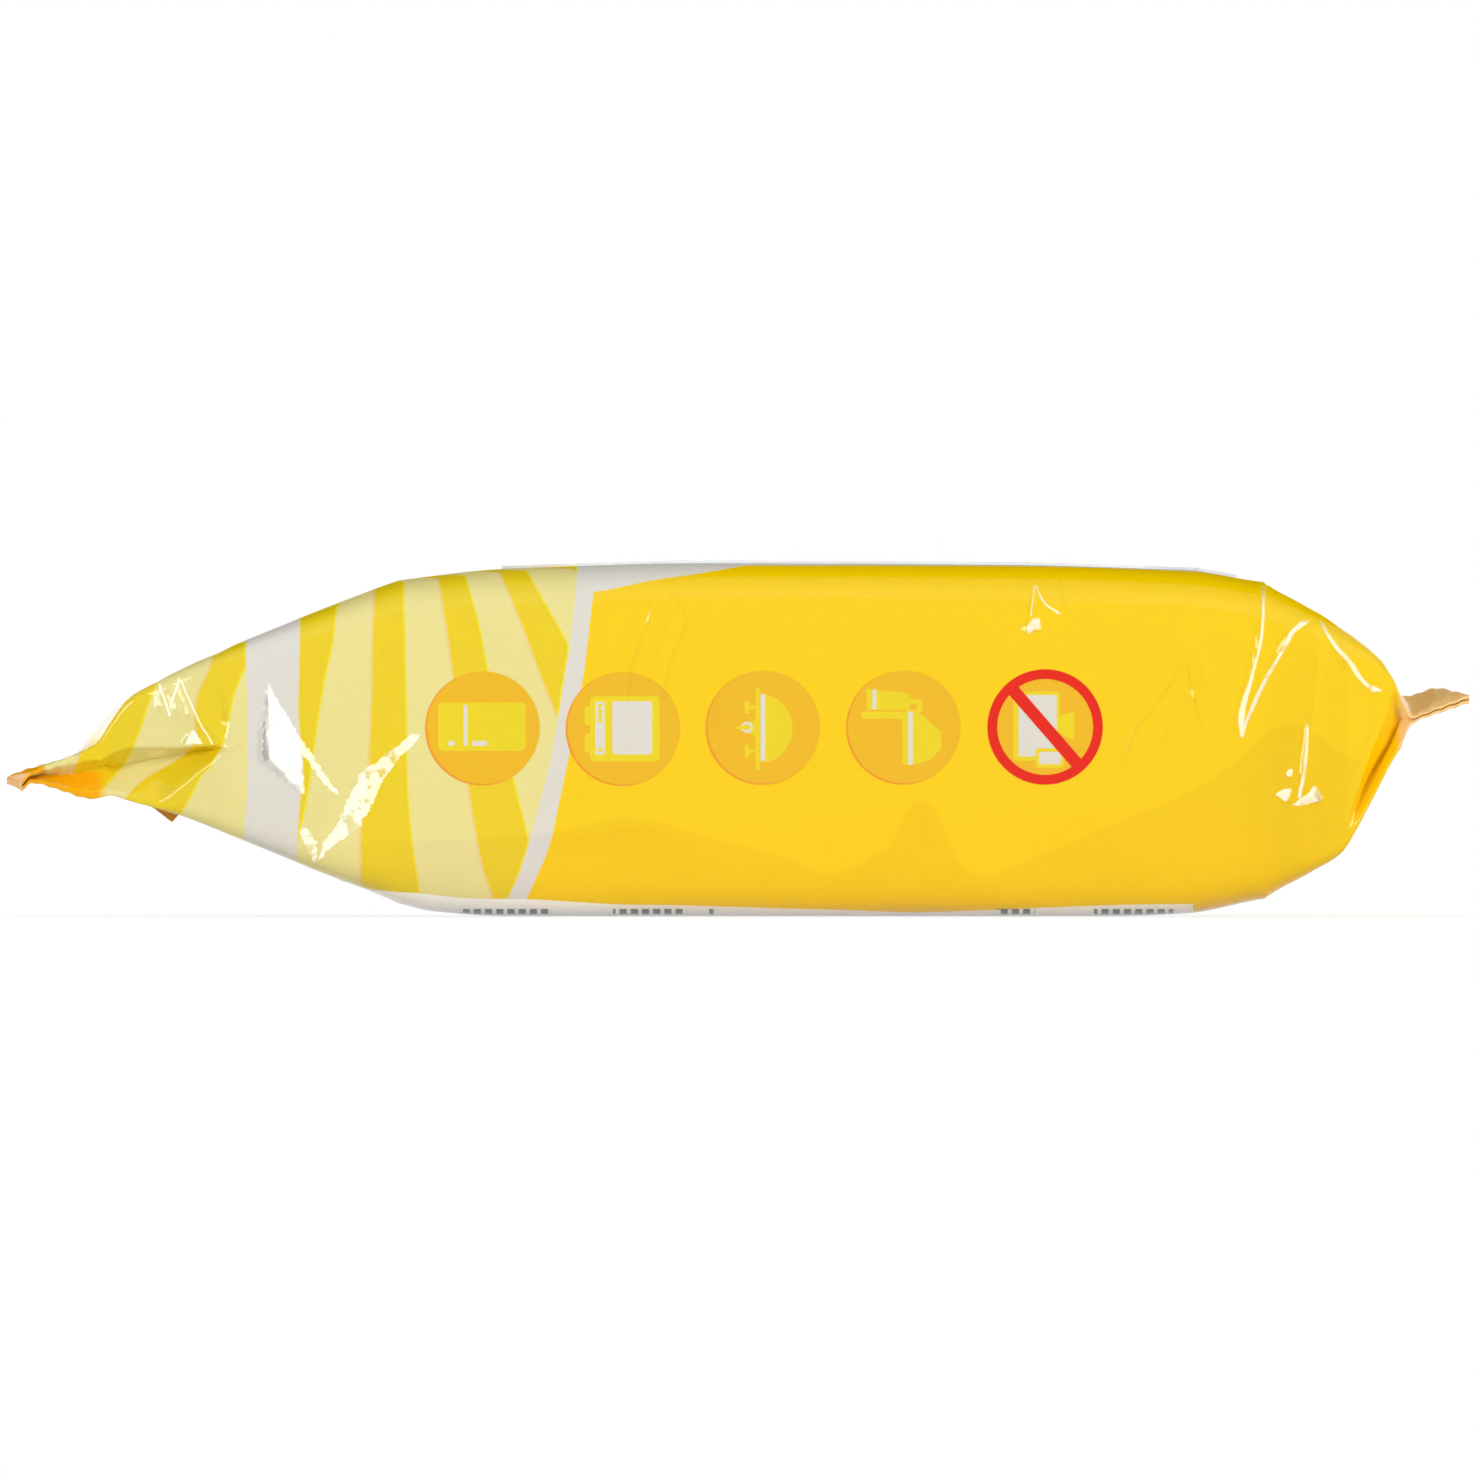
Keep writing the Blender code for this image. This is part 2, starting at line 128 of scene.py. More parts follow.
CROWN_SHARE = (
    (0, 0), (1.1, 0), (1.5, 0.5), (2, 0.9), (2.2, 1), (2.9, 1), (3.3, 0.4), (4, 0.3), (4.06, 0),
    (5, 0),
)
BOW_SHARE = (
    (0, 0.2), (0.15, -0.1), (0.55, -0.25), (1, -0.45), (1.03, -0.3), (1.075, -0.1), (1.12, 0),
    (3.9, 0), (4, 0.2), (4.165, 1), (4.5, 0.95), (5, 0.06),
)

# The reseal label, in metres, and its columns and rows
LABEL_LENGTH = 0.118
LABEL_WIDTH = 0.072
LABEL_CORNER = 0.018
LABEL_SHIFT = 0.0030
LABEL_THICKNESS = 0.0005
LABEL_CLEARANCE = 0.00002
TAB_LENGTH = 0.007
TAB_WIDTH = 0.024
TAB_ROUNDING = 0.9
LABEL_CROWDING = 0.5
LABEL_COLUMNS = 130
TAB_COLUMNS = 14
LABEL_ROWS = 60
ZONE_SAMPLES = 2001

# The length and height that the print's map spans, in metres
PRINT_SPAN = 0.3

# Points of the film that are closer than this become one, and edges flatter than these angles are smooth.
MERGE_DISTANCE = 0.000002
FILM_SMOOTHING = math.radians(20)
LABEL_SMOOTHING = math.radians(40)

# Stations along the film: from each place to the next, so many steps
STATION_RUNS = (
    (0, 1, 26), (1, 2, 118), (2, 2.12, 26), (2.12, 2.88, 132), (2.88, 3, 34), (3, 4, 62), (4, 5, 24),
)

# Steps round a half section: the middle, the lip, the corners, the side, the folds and the tuck
FRONT_STEPS = {"middle": 6, "lip": 5, "corner": 6, "side": 44, "fold": 3, "tuck": 10}
REAR_STEPS = {"middle": 6, "lip": 5, "corner": 4, "side": 13, "fold": 2, "tuck": 6}


def read_curve(curve, places):
    """Values at some places of the smooth curve through (place, value) points, which never overshoots."""
    spots, values = np.array(curve, dtype=float).T
    widths = np.diff(spots)
    steps = np.diff(values) / widths
    product = steps[:-1] * steps[1:]
    total = np.where(product > 0, steps[:-1] + steps[1:], 1)
    slopes = np.concatenate((steps[:1], np.where(product > 0, 2 * product / total, 0), steps[-1:]))
    index = np.clip(np.searchsorted(spots, places, side="left") - 1, 0, len(steps) - 1)
    width = widths[index]
    t = np.clip((places - spots[index]) / width, 0, 1)
    rise = values[index + 1] - values[index]
    bend = slopes[index] * (1 - t) - slopes[index + 1] * t
    return values[index] + rise * t * t * (3 - 2 * t) + width * t * (1 - t) * bend


def ease(value):
    """Smooth step from 0 to 1."""
    t = np.clip(value, 0, 1)
    return t * t * (3 - 2 * t)


def place_x(places):
    """Distance along the film, from the middle of its length, of places counted in zones."""
    borders = np.concatenate(([0], np.cumsum(ZONE_LENGTHS)))
    return np.interp(places, np.arange(len(borders)), borders) - borders[-1] / 2


def seal_height(places):
    return np.where(places < MIDDLE_ZONE, LEFT_SEAL_HEIGHT, RIGHT_SEAL_HEIGHT)


def rib_lift(places):
    """Height of the crimped ribs, which run across the film over both seals."""
    share = np.where(places < MIDDLE_ZONE, places, len(ZONE_LENGTHS) - places)
    wave = (1 - np.cos(2 * math.pi * RIBS * share)) / 2
    return np.where(share < 1, RIB_HEIGHT * wave, 0)


def half_width(places):
    return BODY_WIDTH / 2 + END_FLARE * read_curve(FLARE_SHARE, places)


def top_edge(places):
    seal = seal_height(places)
    return seal + (EDGE_HEIGHT - seal) * read_curve(TOP_EDGE, places) + rib_lift(places)


def base_edge(places):
    return seal_height(places) * read_curve(BASE_EDGE, places) + rib_lift(places)


def top_middle(places):
    crown = CROWN * read_curve(CROWN_SHARE, places)
    return top_edge(places) + crown + SEAL_BOW * read_curve(BOW_SHARE, places)


def base_middle(places):
    thin = top_middle(places) - SEAL_THICKNESS
    return thin + (base_edge(places) - thin) * read_curve(FILL_SHARE, places)


def across(middle, edge, share):
    """Height at a share of the half width, between the middle's height and the edge's."""
    return middle + (edge - middle) * abs(share) ** BOW_POWER


def side_point(places, z):
    """The side at a height, as a complex number: how far out it stands, and its height."""
    low, high = base_edge(places), top_edge(places)
    share = (z - low) / (high - low)
    filled = 1 - read_curve(TUCK_SHARE, places)
    return half_width(places) + SIDE_BULGE * filled * (1 - (2 * share - 1) ** 2) + 1j * z


def straight(start, end, steps):
    """Points of a straight stretch after its start, up to its end."""
    return [start + (end - start) * step / steps for step in range(1, steps + 1)]


def rounded_corner(start, corner, end, steps):
    """Points of a soft corner after its start, up to its end."""
    pairs = zip(straight(start, corner, steps), straight(corner, end, steps))
    return [a + (b - a) * (number + 1) / steps for number, (a, b) in enumerate(pairs)]


def side_stretch(places, start, end, steps):
    """Points down the side between two heights, which follow its bulge."""
    return [side_point(places, z) for z in straight(start.imag, end.imag, steps)]


def half_section(places, steps):
    """Half of the section at each place, from the top's middle round to the underside's middle."""
    reach = half_width(places)
    high, low = top_edge(places), base_edge(places)
    top, base = top_middle(places), base_middle(places)
    height = high - low
    upper_z = low + height * read_curve(UPPER_FOLD, places)
    lower_z = low + height * read_curve(LOWER_FOLD, places)
    radius = EDGE_RADIUS * read_curve(RADIUS_SHARE, places)
    top_radius = np.minimum(radius, FOLD_LIMIT * (high - upper_z))
    base_radius = np.minimum(radius, FOLD_LIMIT * (lower_z - low))
    fold = np.minimum(FOLD_RADIUS, FOLD_LIMIT * np.minimum(high - upper_z, lower_z - low))

    tuck = read_curve(TUCK_SHARE, places)
    inner_y = reach - read_curve(TUCK_DEPTH, places) * tuck
    inner_high = across(top, high, inner_y / reach)
    inner_low = across(base, low, inner_y / reach)
    inner_z = inner_low + (inner_high - inner_low) * read_curve(INNER_FOLD, places)
    untucked = 1 - np.minimum(1, BULGE_FADE * tuck)
    inner = inner_y + (side_point(places, inner_z).real - reach) * untucked + 1j * inner_z
    upper = side_point(places, upper_z)
    lower = side_point(places, lower_z)

    def flat(middle, edge, share):
        return reach * share + 1j * across(middle, edge, share)

    def past(corner):
        away = inner - corner
        return corner + away / abs(away) * np.minimum(fold, FOLD_LIMIT * abs(away))

    none = np.zeros_like(reach)
    centre = [none] + straight(none, none + SPLIT, steps["middle"])
    top_lip = straight(none + SPLIT, 1 - top_radius / reach, steps["lip"])
    base_lip = straight(none + SPLIT, 1 - base_radius / reach, steps["lip"])[::-1]
    points = [flat(top, high, share) for share in centre + top_lip]
    side_top = side_point(places, high - top_radius)
    points += rounded_corner(points[-1], reach + 1j * high, side_top, steps["corner"])
    above_upper = side_point(places, upper_z + fold)
    points += side_stretch(places, side_top, above_upper, steps["side"])
    points += rounded_corner(above_upper, upper, past(upper), steps["fold"])
    points += straight(past(upper), inner, steps["tuck"])
    points += straight(inner, past(lower), steps["tuck"])
    below_lower = side_point(places, lower_z - fold)
    points += rounded_corner(past(lower), lower, below_lower, steps["fold"])
    side_base = side_point(places, low + base_radius)
    points += side_stretch(places, below_lower, side_base, steps["side"])
    underside = [flat(base, low, share) for share in base_lip]
    points += rounded_corner(side_base, reach + 1j * low, underside[0], steps["corner"])
    points += underside[1:] + [flat(base, low, share) for share in centre[::-1]]
    return np.array(points).T


def askew(places, y):
    """How the left end's skew moves the film: the pull along the pack and the rear corner's droop."""
    reach = half_width(places)[:, None]
    rear_weight = ease(2 - places)[:, None]
    full, none = FRONT_PULL_PLACES
    front_weight = ease((none - places) / (none - full))[:, None]
    rear = np.maximum(0, y + REAR_START) / (reach + REAR_START)
    front = np.maximum(0, -y - FRONT_START) / (reach - FRONT_START)
    rear_pull = REAR_PULL * rear_weight * rear ** REAR_POWER
    front_pull = FRONT_PULL * front_weight * front
    droop = REAR_DROOP * rear_weight * (np.maximum(0, y) / reach) ** DROOP_POWER
    return rear_pull, front_pull, droop


def print_heights(half, steps):
    """Height of each point for the print: over the top it goes on inwards, under the base outwards."""
    turn = steps["middle"] + steps["lip"]
    last = half.shape[1] - 1
    heights = half.imag.copy()
    for number in range(turn):
        heights[:, number] += half[:, turn].real - half[:, number].real
        other = last - number
        heights[:, other] -= half[:, last - turn].real - half[:, other].real
    return heights


def tuck_columns(steps):
    """How a half section's columns lie in the tuck: 1 on its upper wall, 2 on its lower wall, 0 elsewhere."""
    start = steps["middle"] + steps["lip"] + steps["corner"] + steps["side"] + steps["fold"]
    total = 2 * sum(steps.values()) + 1
    inside = np.zeros(total)
    inside[start + 1:total // 2 + 1] = 1
    inside[total // 2 + 1:total - start - 1] = 2
    return inside


def side_columns(steps):
    """1 for the columns of a half section that lie on its side, from corner to corner."""
    start = steps["middle"] + steps["lip"]
    total = 2 * sum(steps.values()) + 1
    inside = np.zeros(total)
    inside[start:total - start] = 1
    return inside


def film_stations():
    runs = [np.linspace(start, end, steps, endpoint=False) for start, end, steps in STATION_RUNS]
    return np.concatenate(runs + [[len(ZONE_LENGTHS)]])


def whole_ring(front, rear):
    """A closed row of values round the film, from the top's middle by the front and the rear and back."""
    return np.concatenate((front, rear[..., ::-1][..., 1:]), axis=-1)


def ridge(x, z, points, power):
    """Height of one crease at (x, z): its points give x, z, height and the width on each side."""
    height = np.zeros_like(x)
    for start, end in zip(points, points[1:]):
        (ax, az, *first), (bx, bz, *second) = start, end
        dx, dz = bx - ax, bz - az
        t = np.clip(((x - ax) * dx + (z - az) * dz) / (dx * dx + dz * dz), 0, 1)
        away_x, away_z = x - ax - t * dx, z - az - t * dz
        left = dx * away_z - dz * away_x > 0
        tall, wide_left, wide_right = (a + t * (b - a) for a, b in zip(first, second))
        share = np.hypot(away_x, away_z) / np.where(left, wide_left, wide_right)
        piece = tall * np.maximum(0, 1 - share) ** power
        height = np.where(abs(piece) > abs(height), piece, height)
    return height


# A crease's point that has only its place: the height and the widths where the crease fades out
FADED = (0, 0.8, 0.8)

# Creases of the front, in millimetres: x, z, height, width to the left and width to the right of the way
# that the points run. A power of 1 makes a tent with flat flanks and 2 a sharp line with hollow flanks.
FRONT_CREASES = (
    # The fan over the left tuck's end
    (1, (-98.3, 39.8), (-97.2, 36.0, 0.3, 1.0, 1.5), (-95.7, 33.4)),
    (1, (-97.6, 40.0), (-94.6, 35.5, 0.35, 1.0, 1.7), (-93.8, 32.0)),
    (1, (-94.4, 39.8), (-92.6, 34.4, 0.35, 1.2, 1.6), (-88.9, 29.4)),
    (1, (-92.4, 37.4), (-90.2, 33.0, 0.3, 1.2, 1.4), (-87.8, 30.0)),
    (2, (-87.8, 38.6, 0, 2, 2), (-87.2, 33.0, -0.7, 2.6, 2.0), (-86.4, 28.0, 0, 1.5, 1.5)),
    (2, (-90.0, 26.6, 0, 1.5, 1.5), (-86.0, 28.4, 0.5, 2.0, 1.6), (-81.6, 30.6, 0, 1, 1)),
    (1, (-81.8, 34.0), (-81.6, 29.6, 0.25, 0.8, 1.2), (-81.9, 25.6)),
    # The two streaks beside the white band
    (1, (-74.4, 30.4), (-71.6, 25.6, 0.15, 1.6, 1.2), (-67.6, 20.8)),
    (1, (-70.8, 9.7), (-67.6, 15.6, 0.2, 1.2, 2.0), (-64.2, 21.4, 0.2, 1.2, 2.0),
     (-59.6, 26.8, 0.2, 1.2, 2.0), (-54.2, 30.6)),
    # The shoulder above the white band
    (1, (-65.6, 53.0), (-64.6, 50.0, 0.3, 1.2, 1.2), (-64.4, 45.6)),
    # The right shoulder: a long wedge, a curved line and an upright one
    (1, (89.3, 56.0, 0, 1, 0.8), (88.9, 48.0, 0.5, 3.8, 1.3), (87.6, 41.0, 0.5, 2.8, 1.3),
     (85.6, 33.4, 0.45, 1.8, 1.2), (85.0, 30.2, 0, 1, 1)),
    (1, (97.4, 50.8, 0, 1, 1), (94.8, 49.0, 0.5, 1.4, 1.8), (92.0, 44.4, 0.5, 1.2, 1.4),
     (90.2, 41.9, 0.5, 1.0, 1.4), (88.6, 38.4, 0.45, 1.0, 1.3), (86.9, 34.4, 0.4, 0.8, 1.1),
     (85.4, 31.4)),
    (1, (98.7, 51.2, 0, 1, 1), (99.6, 49.2, 0.5, 1.5, 1.3), (102.0, 45.0, 0.6, 1.7, 1.25),
     (103.4, 43.2, 0.55, 1.8, 1.25), (104.6, 41.6, 0.36, 1.9, 1.6), (106.4, 39.6, 0.34, 1.9, 2.0),
     (108.3, 38.7, 0.32, 1.8, 2.0), (111.0, 39.6)),
    (1, (98.9, 49.6, 0, 1, 1.5), (98.6, 44.0, 0.4, 1.3, 3.6), (97.6, 34.0, 0.35, 1.2, 3.0),
     (97.0, 30.0, 0, 0.8, 1)),
    (1, (97.4, 34.0), (96.9, 31.0, 0.28, 1.4, 0.8), (96.5, 27.0, 0.34, 1.8, 1.0),
     (96.0, 22.0, 0.34, 1.6, 1.0), (95.6, 20.0)),
    # The small cluster near the top of the body
    (1, (48.8, 57.0), (50.0, 52.6, 0.35, 1.4, 1.0), (49.6, 47.6)),
    (1, (50.6, 56.6), (53.8, 52.2, 0.45, 2.0, 1.2), (58.0, 50.0)),
    (1, (59.8, 57.6, 0, 1, 1), (61.0, 53.0, 0.3, 1.6, 1.2), (61.2, 49.0)),
    # Faint long folds
    (1, (77.4, 47.4, 0, 2, 2), (70.6, 38.0, 0.4, 2.6, 1.4), (66.4, 30.0, 0.4, 2, 1.2), (66.0, 25.0, 0, 2, 2)),
    (1, (83.6, 36.6, 0, 2, 2), (77.0, 37.0, 0.35, 1.6, 1.4), (72.6, 29.4, 0, 2, 2)),
    (1, (77.0, 47.4, 0, 2, 2), (79.4, 40.0, 0.25, 2.6, 2), (83.0, 36.0, 0, 2, 2)),
    (1, (-11.8, 58.0, 0, 1.6, 1.6), (-11.0, 51.0, 0.36, 1.8, 1.2), (-14.0, 41.6, 0.3, 1.6, 1.1),
     (-15.4, 34.0, 0, 2, 2)),
    (1, (-8.4, 57.6, 0, 1.6, 1.6), (-3.4, 51.6, 0.3, 1.6, 1.1), (-7.0, 41.0, 0.3, 1.6, 1.1),
     (-9.0, 30.0, 0, 2, 2)),
    (2, (-62.0, 7.6, 0, 5, 5), (-40.0, 11.6, 0.3, 6, 4), (-16.0, 15.6, 0.45, 6, 4), (2.0, 9.0, 0, 5, 5)),
    (2, (22.0, 6.0, 0, 4, 4), (28.4, 17.6, 0.5, 5.5, 4.5), (31.0, 20.0, 0.45, 4, 4), (38.0, 8.0, 0, 4, 4)),
    (2, (38.0, 8.0, 0, 4, 4), (66.0, 20.0, 0.4, 6, 4), (88.0, 32.0, 0, 4, 4)),
)
# Flat facets of the front: each border runs anticlockwise as seen, and each corner gives x, z and the slope
# of the flank behind the border that starts there.
FRONT_FACETS = (
    # The tall facet on the white band
    ((-79.3, 39.9, 1.3), (-80.8, 31.0, 1.3), (-80.6, 26.2, 1.1), (-73.1, 20.2, 0.28), (-74.3, 31.0, 0.3)),
    # The bright corner beside the left tuck
    ((-92.6, 31.4, 0.6), (-94.0, 29.5, 0.9), (-90.2, 28.9, 0.3)),
    # The cluster near the top and the facets of the right shoulder
    ((51.8, 50.6, 1.5), (48.8, 49.4, 1.5), (48.8, 47.8, 1.5), (51.6, 48.4, 0.45)),
    ((97.6, 22.6, 0.38), (94.0, 19.1, 1.2), (99.6, 19.7, 0.8)),
    ((93.2, 21.6, 0.4), (91.0, 20.4, 1.2), (93.8, 19.7, 0.8)),
    ((94.4, 25.0, 0.4), (92.7, 23.8, 1.0), (94.0, 23.2, 0.8)),
    ((104.4, 31.6, 0.12), (101.6, 26.4, 0.2), (104.6, 24.0, 0.25), (108.0, 32.0, 0.15)),
    ((-58.0, 52.0, 0.1), (-62.0, 44.0, 0.14), (-52.0, 46.0, 0.12)),
)


def facet(x, z, corners):
    """Height of one facet: a low roof over its border, whose flanks rise inwards at their own slopes."""
    height = np.full_like(x, np.inf)
    for (ax, az, slope), (bx, bz, _) in zip(corners, corners[1:] + corners[:1]):
        dx, dz = bx - ax, bz - az
        inwards = (dx * (z - az) - dz * (x - ax)) / math.hypot(dx, dz)
        height = np.minimum(height, slope * inwards)
    return np.maximum(height, 0)


# The slow waves of a filled side, in millimetres: height, length along x and along z, and phase
WAVES = (
    (0.11, 11.0, 17.0, 0.6), (0.11, 11.0, -17.0, 0.6), (0.16, 6.1, 9.0, 1.9), (0.10, 3.9, -5.2, 0.3),
)


def waviness(x, z):
    return sum(height * np.sin(x / along + z / up + phase) for height, along, up, phase in WAVES)


# Seeded creases: the range of their half widths in millimetres, and how much they bend for their length
CREASE_WIDTHS = (2.0, 4.5)
CREASE_BEND = 0.12


def random_creases(seed, count, x_range, z_range, length, height, slant):
    """Seeded creases in an area, with the ranges of their length and height, that slant by so much."""
    chance = np.random.default_rng(seed)
    creases = []
    for _ in range(count):
        x, z = chance.uniform(*x_range), chance.uniform(*z_range)
        reach = chance.uniform(*length) / 2
        angle = chance.normal(0, slant)
        dx, dz = reach * math.cos(angle), reach * math.sin(angle)
        tall = chance.uniform(*height) * chance.choice((-1, 1))
        wide = chance.uniform(*CREASE_WIDTHS)
        bend = chance.normal(0, CREASE_BEND) * reach
        creases.append((
            2, (x - dx, z - dz, 0, 1, 1), (x - bend * dz / reach, z + bend, tall, wide, wide),
            (x + dx, z + dz, 0, 1, 1),
        ))
    return creases


# Faint crumples of the front, and the creases of the other sides, whose second range is z or y
FRONT_CRUMPLES = (
    random_creases(41, 14, (-106, -58), (8, 46), (10, 28), (0.04, 0.10), 1.2)
    + random_creases(42, 14, (84, 108), (8, 52), (8, 24), (0.04, 0.12), 1.2)
    + random_creases(43, 22, (-55, 84), (6, 50), (14, 44), (0.04, 0.10), 1.0)
)
REAR_CREASES = (
    random_creases(11, 12, (-108, -72), (20, 40), (14, 34), (0.4, 0.9), 0.35)
    + random_creases(12, 12, (84, 108), (14, 46), (8, 22), (0.3, 0.8), 1.0)
    + random_creases(13, 14, (-60, 84), (8, 54), (20, 50), (0.1, 0.3), 0.6)
)
TOP_CREASES = (
    random_creases(21, 16, (-112, -66), (-56, 56), (18, 40), (0.15, 0.45), 0.25)
    + random_creases(22, 14, (88, 112), (-52, 52), (12, 26), (0.15, 0.4), 0.3)
)
BASE_CREASES = (
    random_creases(31, 14, (-112, -66), (-56, 56), (18, 40), (0.15, 0.4), 0.25)
    + random_creases(32, 12, (92, 112), (-52, 52), (10, 24), (0.15, 0.35), 0.3)
)


def crease_heights(x, z, creases):
    total = np.zeros_like(x)
    for power, *points in creases:
        whole = [point if len(point) > 2 else point + FADED for point in points]
        total += ridge(x, z, whole, power)
    return total


TINY = 1e-12


def film_normals(points):
    """Outward directions of the film's rows and columns of points."""
    along = np.gradient(points, axis=0)
    closed = points[:, :-1]
    around = (np.roll(closed, -1, axis=1) - np.roll(closed, 1, axis=1)) / 2
    around = np.concatenate((around, around[:, :1]), axis=1)
    outward = np.cross(around, along)
    return outward / np.maximum(np.linalg.norm(outward, axis=2, keepdims=True), TINY)


# Where the fine relief fades out: shares of a side's height, then zones, then millimetres from an edge
LOW_CORNER_FADE = 0.18
HIGH_CORNER_FADE = 0.12
WAVE_FADE = 0.35
LEFT_SEAL_FADE = 0.15
RIGHT_SEAL_FADE = 0.12
FILLED_START, FILLED_START_FADE = 1.3, 0.5
FILLED_END, FILLED_END_FADE = 3.7, 0.4
EDGE_FADE = 14
# The level stretch of the top and of the underside, which has no relief, and the fade past it, in millimetres
LEVEL_MIDDLE, LEVEL_REACH, LEVEL_FADE = 22, 62, 10
# How far the rear's waves are shifted against the front's, in millimetres
REAR_WAVE_SHIFT = 40
# The tuck's share from which its walls count as tucked in
TUCKED_FROM = 0.05


def film_relief(places, x, y, z):
    """How far creases, facets and waves stand out of the film, with all lengths in millimetres."""
    front_columns, rear_columns = side_columns(FRONT_STEPS), side_columns(REAR_STEPS)
    front_side = whole_ring(front_columns, np.zeros_like(rear_columns))
    rear_side = whole_ring(np.zeros_like(front_columns), rear_columns)
    low, high = base_edge(places)[:, None] / MM, top_edge(places)[:, None] / MM
    share = np.clip((z - low) / (high - low), 0, 1)
    middle = ease(share / LOW_CORNER_FADE) * ease((1 - share) / HIGH_CORNER_FADE)
    filled = (seal_free(places) * ease((places - FILLED_START) / FILLED_START_FADE)
              * ease((FILLED_END - places) / FILLED_END_FADE))[:, None]

    front = crease_heights(x, z, [*FRONT_CREASES, *FRONT_CRUMPLES])
    front += waviness(x, z) * filled * ease((1 - share) / WAVE_FADE)
    for corners in FRONT_FACETS:
        front += facet(x, z, corners)
    rear = crease_heights(x, z, REAR_CREASES) + waviness(x + REAR_WAVE_SHIFT, z) * filled
    relief = front_side * front * middle + rear_side * rear * middle

    flat = (1 - front_side) * (1 - rear_side)
    over = flat * (z > (low + high) / 2)
    beyond_level = ease((abs(x - LEVEL_MIDDLE) - LEVEL_REACH) / LEVEL_FADE)
    inset = ease((half_width(places)[:, None] / MM - abs(y)) / EDGE_FADE)
    for part, creases in ((over, TOP_CREASES), (flat - over, BASE_CREASES)):
        relief += part * beyond_level * crease_heights(x, y, creases) * inset
    return relief


def seal_free(places):
    """0 on the seals and 1 a little way inside them."""
    return ease((places - 1) / LEFT_SEAL_FADE) * ease((4 - places) / RIGHT_SEAL_FADE)


def film_points():
    """All points of the film as rows of closed rings, with each one's place in the print and its values."""
    places = film_stations()
    front, rear = half_section(places, FRONT_STEPS), half_section(places, REAR_STEPS)
    y = whole_ring(-front.real, rear.real)
    z = whole_ring(front.imag, rear.imag)
    rear_pull, front_pull, droop = askew(places, y)
    x = place_x(places)[:, None] + np.zeros_like(y)
    printed_z = whole_ring(print_heights(front, FRONT_STEPS), print_heights(rear, REAR_STEPS))
    place = np.stack((x + front_pull, printed_z), axis=2) / PRINT_SPAN + 0.5
    points = np.stack((x + rear_pull + front_pull, y, z - droop), axis=2)

    tuck = whole_ring(tuck_columns(FRONT_STEPS), tuck_columns(REAR_STEPS))
    tucked = tuck[None, :] * np.minimum(1, read_curve(TUCK_SHARE, places) / TUCKED_FROM)[:, None]
    outer = (1 - np.minimum(tucked, 1)) * seal_free(places)[:, None]
    outward = film_normals(points)
    points += outward * (film_relief(places, x / MM, y / MM, z / MM) * outer * MM)[:, :, None]
    upward = np.clip(outward[:, :, 2], 0, 1)
    return points, place, {"zone": places[:, None] + np.zeros_like(y), "tuck": tucked, "upward": upward}


def deselect_all():
    for item in bpy.context.selected_objects:
        item.select_set(False)


def add_grid(name, columns, rows):
    """A flat grid with so many columns and rows of faces, and the column and row of each of its points."""
    deselect_all()
    bpy.ops.mesh.primitive_grid_add(x_subdivisions=columns, y_subdivisions=rows, size=1)
    grid = bpy.context.object
    grid.name = name
    plan = np.empty(len(grid.data.vertices) * 3)
    grid.data.vertices.foreach_get("co", plan)
    across_plan, up_plan, _ = plan.reshape(-1, 3).T + 0.5
    return grid, np.rint(across_plan * columns).astype(int), np.rint(up_plan * rows).astype(int)


def close_film():
    """Join the film's seam and fill its two ends, in edit mode."""
    bpy.ops.object.mode_set(mode="EDIT")
    bpy.ops.mesh.select_all(action="SELECT")
    bpy.ops.mesh.remove_doubles(threshold=MERGE_DISTANCE)
    bpy.ops.mesh.select_all(action="DESELECT")
    bpy.ops.mesh.select_mode(type="EDGE")
    bpy.ops.mesh.select_non_manifold(extend=False, use_wire=False, use_boundary=True, use_multi_face=False,
                                     use_non_contiguous=False, use_verts=False)
    bpy.ops.mesh.fill()
    bpy.ops.mesh.select_all(action="SELECT")
    bpy.ops.mesh.normals_make_consistent(inside=False)
    bpy.ops.object.mode_set(mode="OBJECT")


def make_film():
    """The film: a grid whose rows are laid round the pack, closed along its seam and at both ends."""
    points, place, values = film_points()
    film, column, row = add_grid("printed_film_pack", points.shape[1] - 1, points.shape[0] - 1)
    mesh = film.data
    mesh.vertices.foreach_set("co", points[row, column].ravel())
    loops = np.empty(len(mesh.loops), dtype=int)
    mesh.loops.foreach_get("vertex_index", loops)
    mesh.uv_layers.active.name = "print"
    printed = place[row, column][loops].astype(np.float32)
    mesh.uv_layers["print"].uv.foreach_set("vector", printed.ravel())
    for name, value in values.items():
        attribute = mesh.attributes.new(name, "FLOAT", "POINT")
        attribute.data.foreach_set("value", value[row, column].astype(np.float32))
    mesh.update()
    close_film()
    bpy.ops.object.shade_smooth_by_angle(angle=FILM_SMOOTHING)
    return film


def label_half_width(x, start, end):
    """Half the label's width at places along it: round corners, then the pull tab."""
    depth = np.clip(np.minimum(x - start, end - x), 0, LABEL_CORNER)
    rise = np.sqrt(LABEL_CORNER ** 2 - (LABEL_CORNER - depth) ** 2)
    share = (x - end) / TAB_LENGTH
    tab = TAB_WIDTH / 2 * np.sqrt(np.clip(1 - TAB_ROUNDING * share ** 2, 0, 1))
    return np.where(x > end, tab, LABEL_WIDTH / 2 - LABEL_CORNER + rise)


def film_top(x, y):
    """Height of the film's top under the label."""
    samples = np.linspace(0, len(ZONE_LENGTHS), ZONE_SAMPLES)
    places = np.interp(x, place_x(samples), samples)
    return across(top_middle(places), top_edge(places), y / half_width(places))


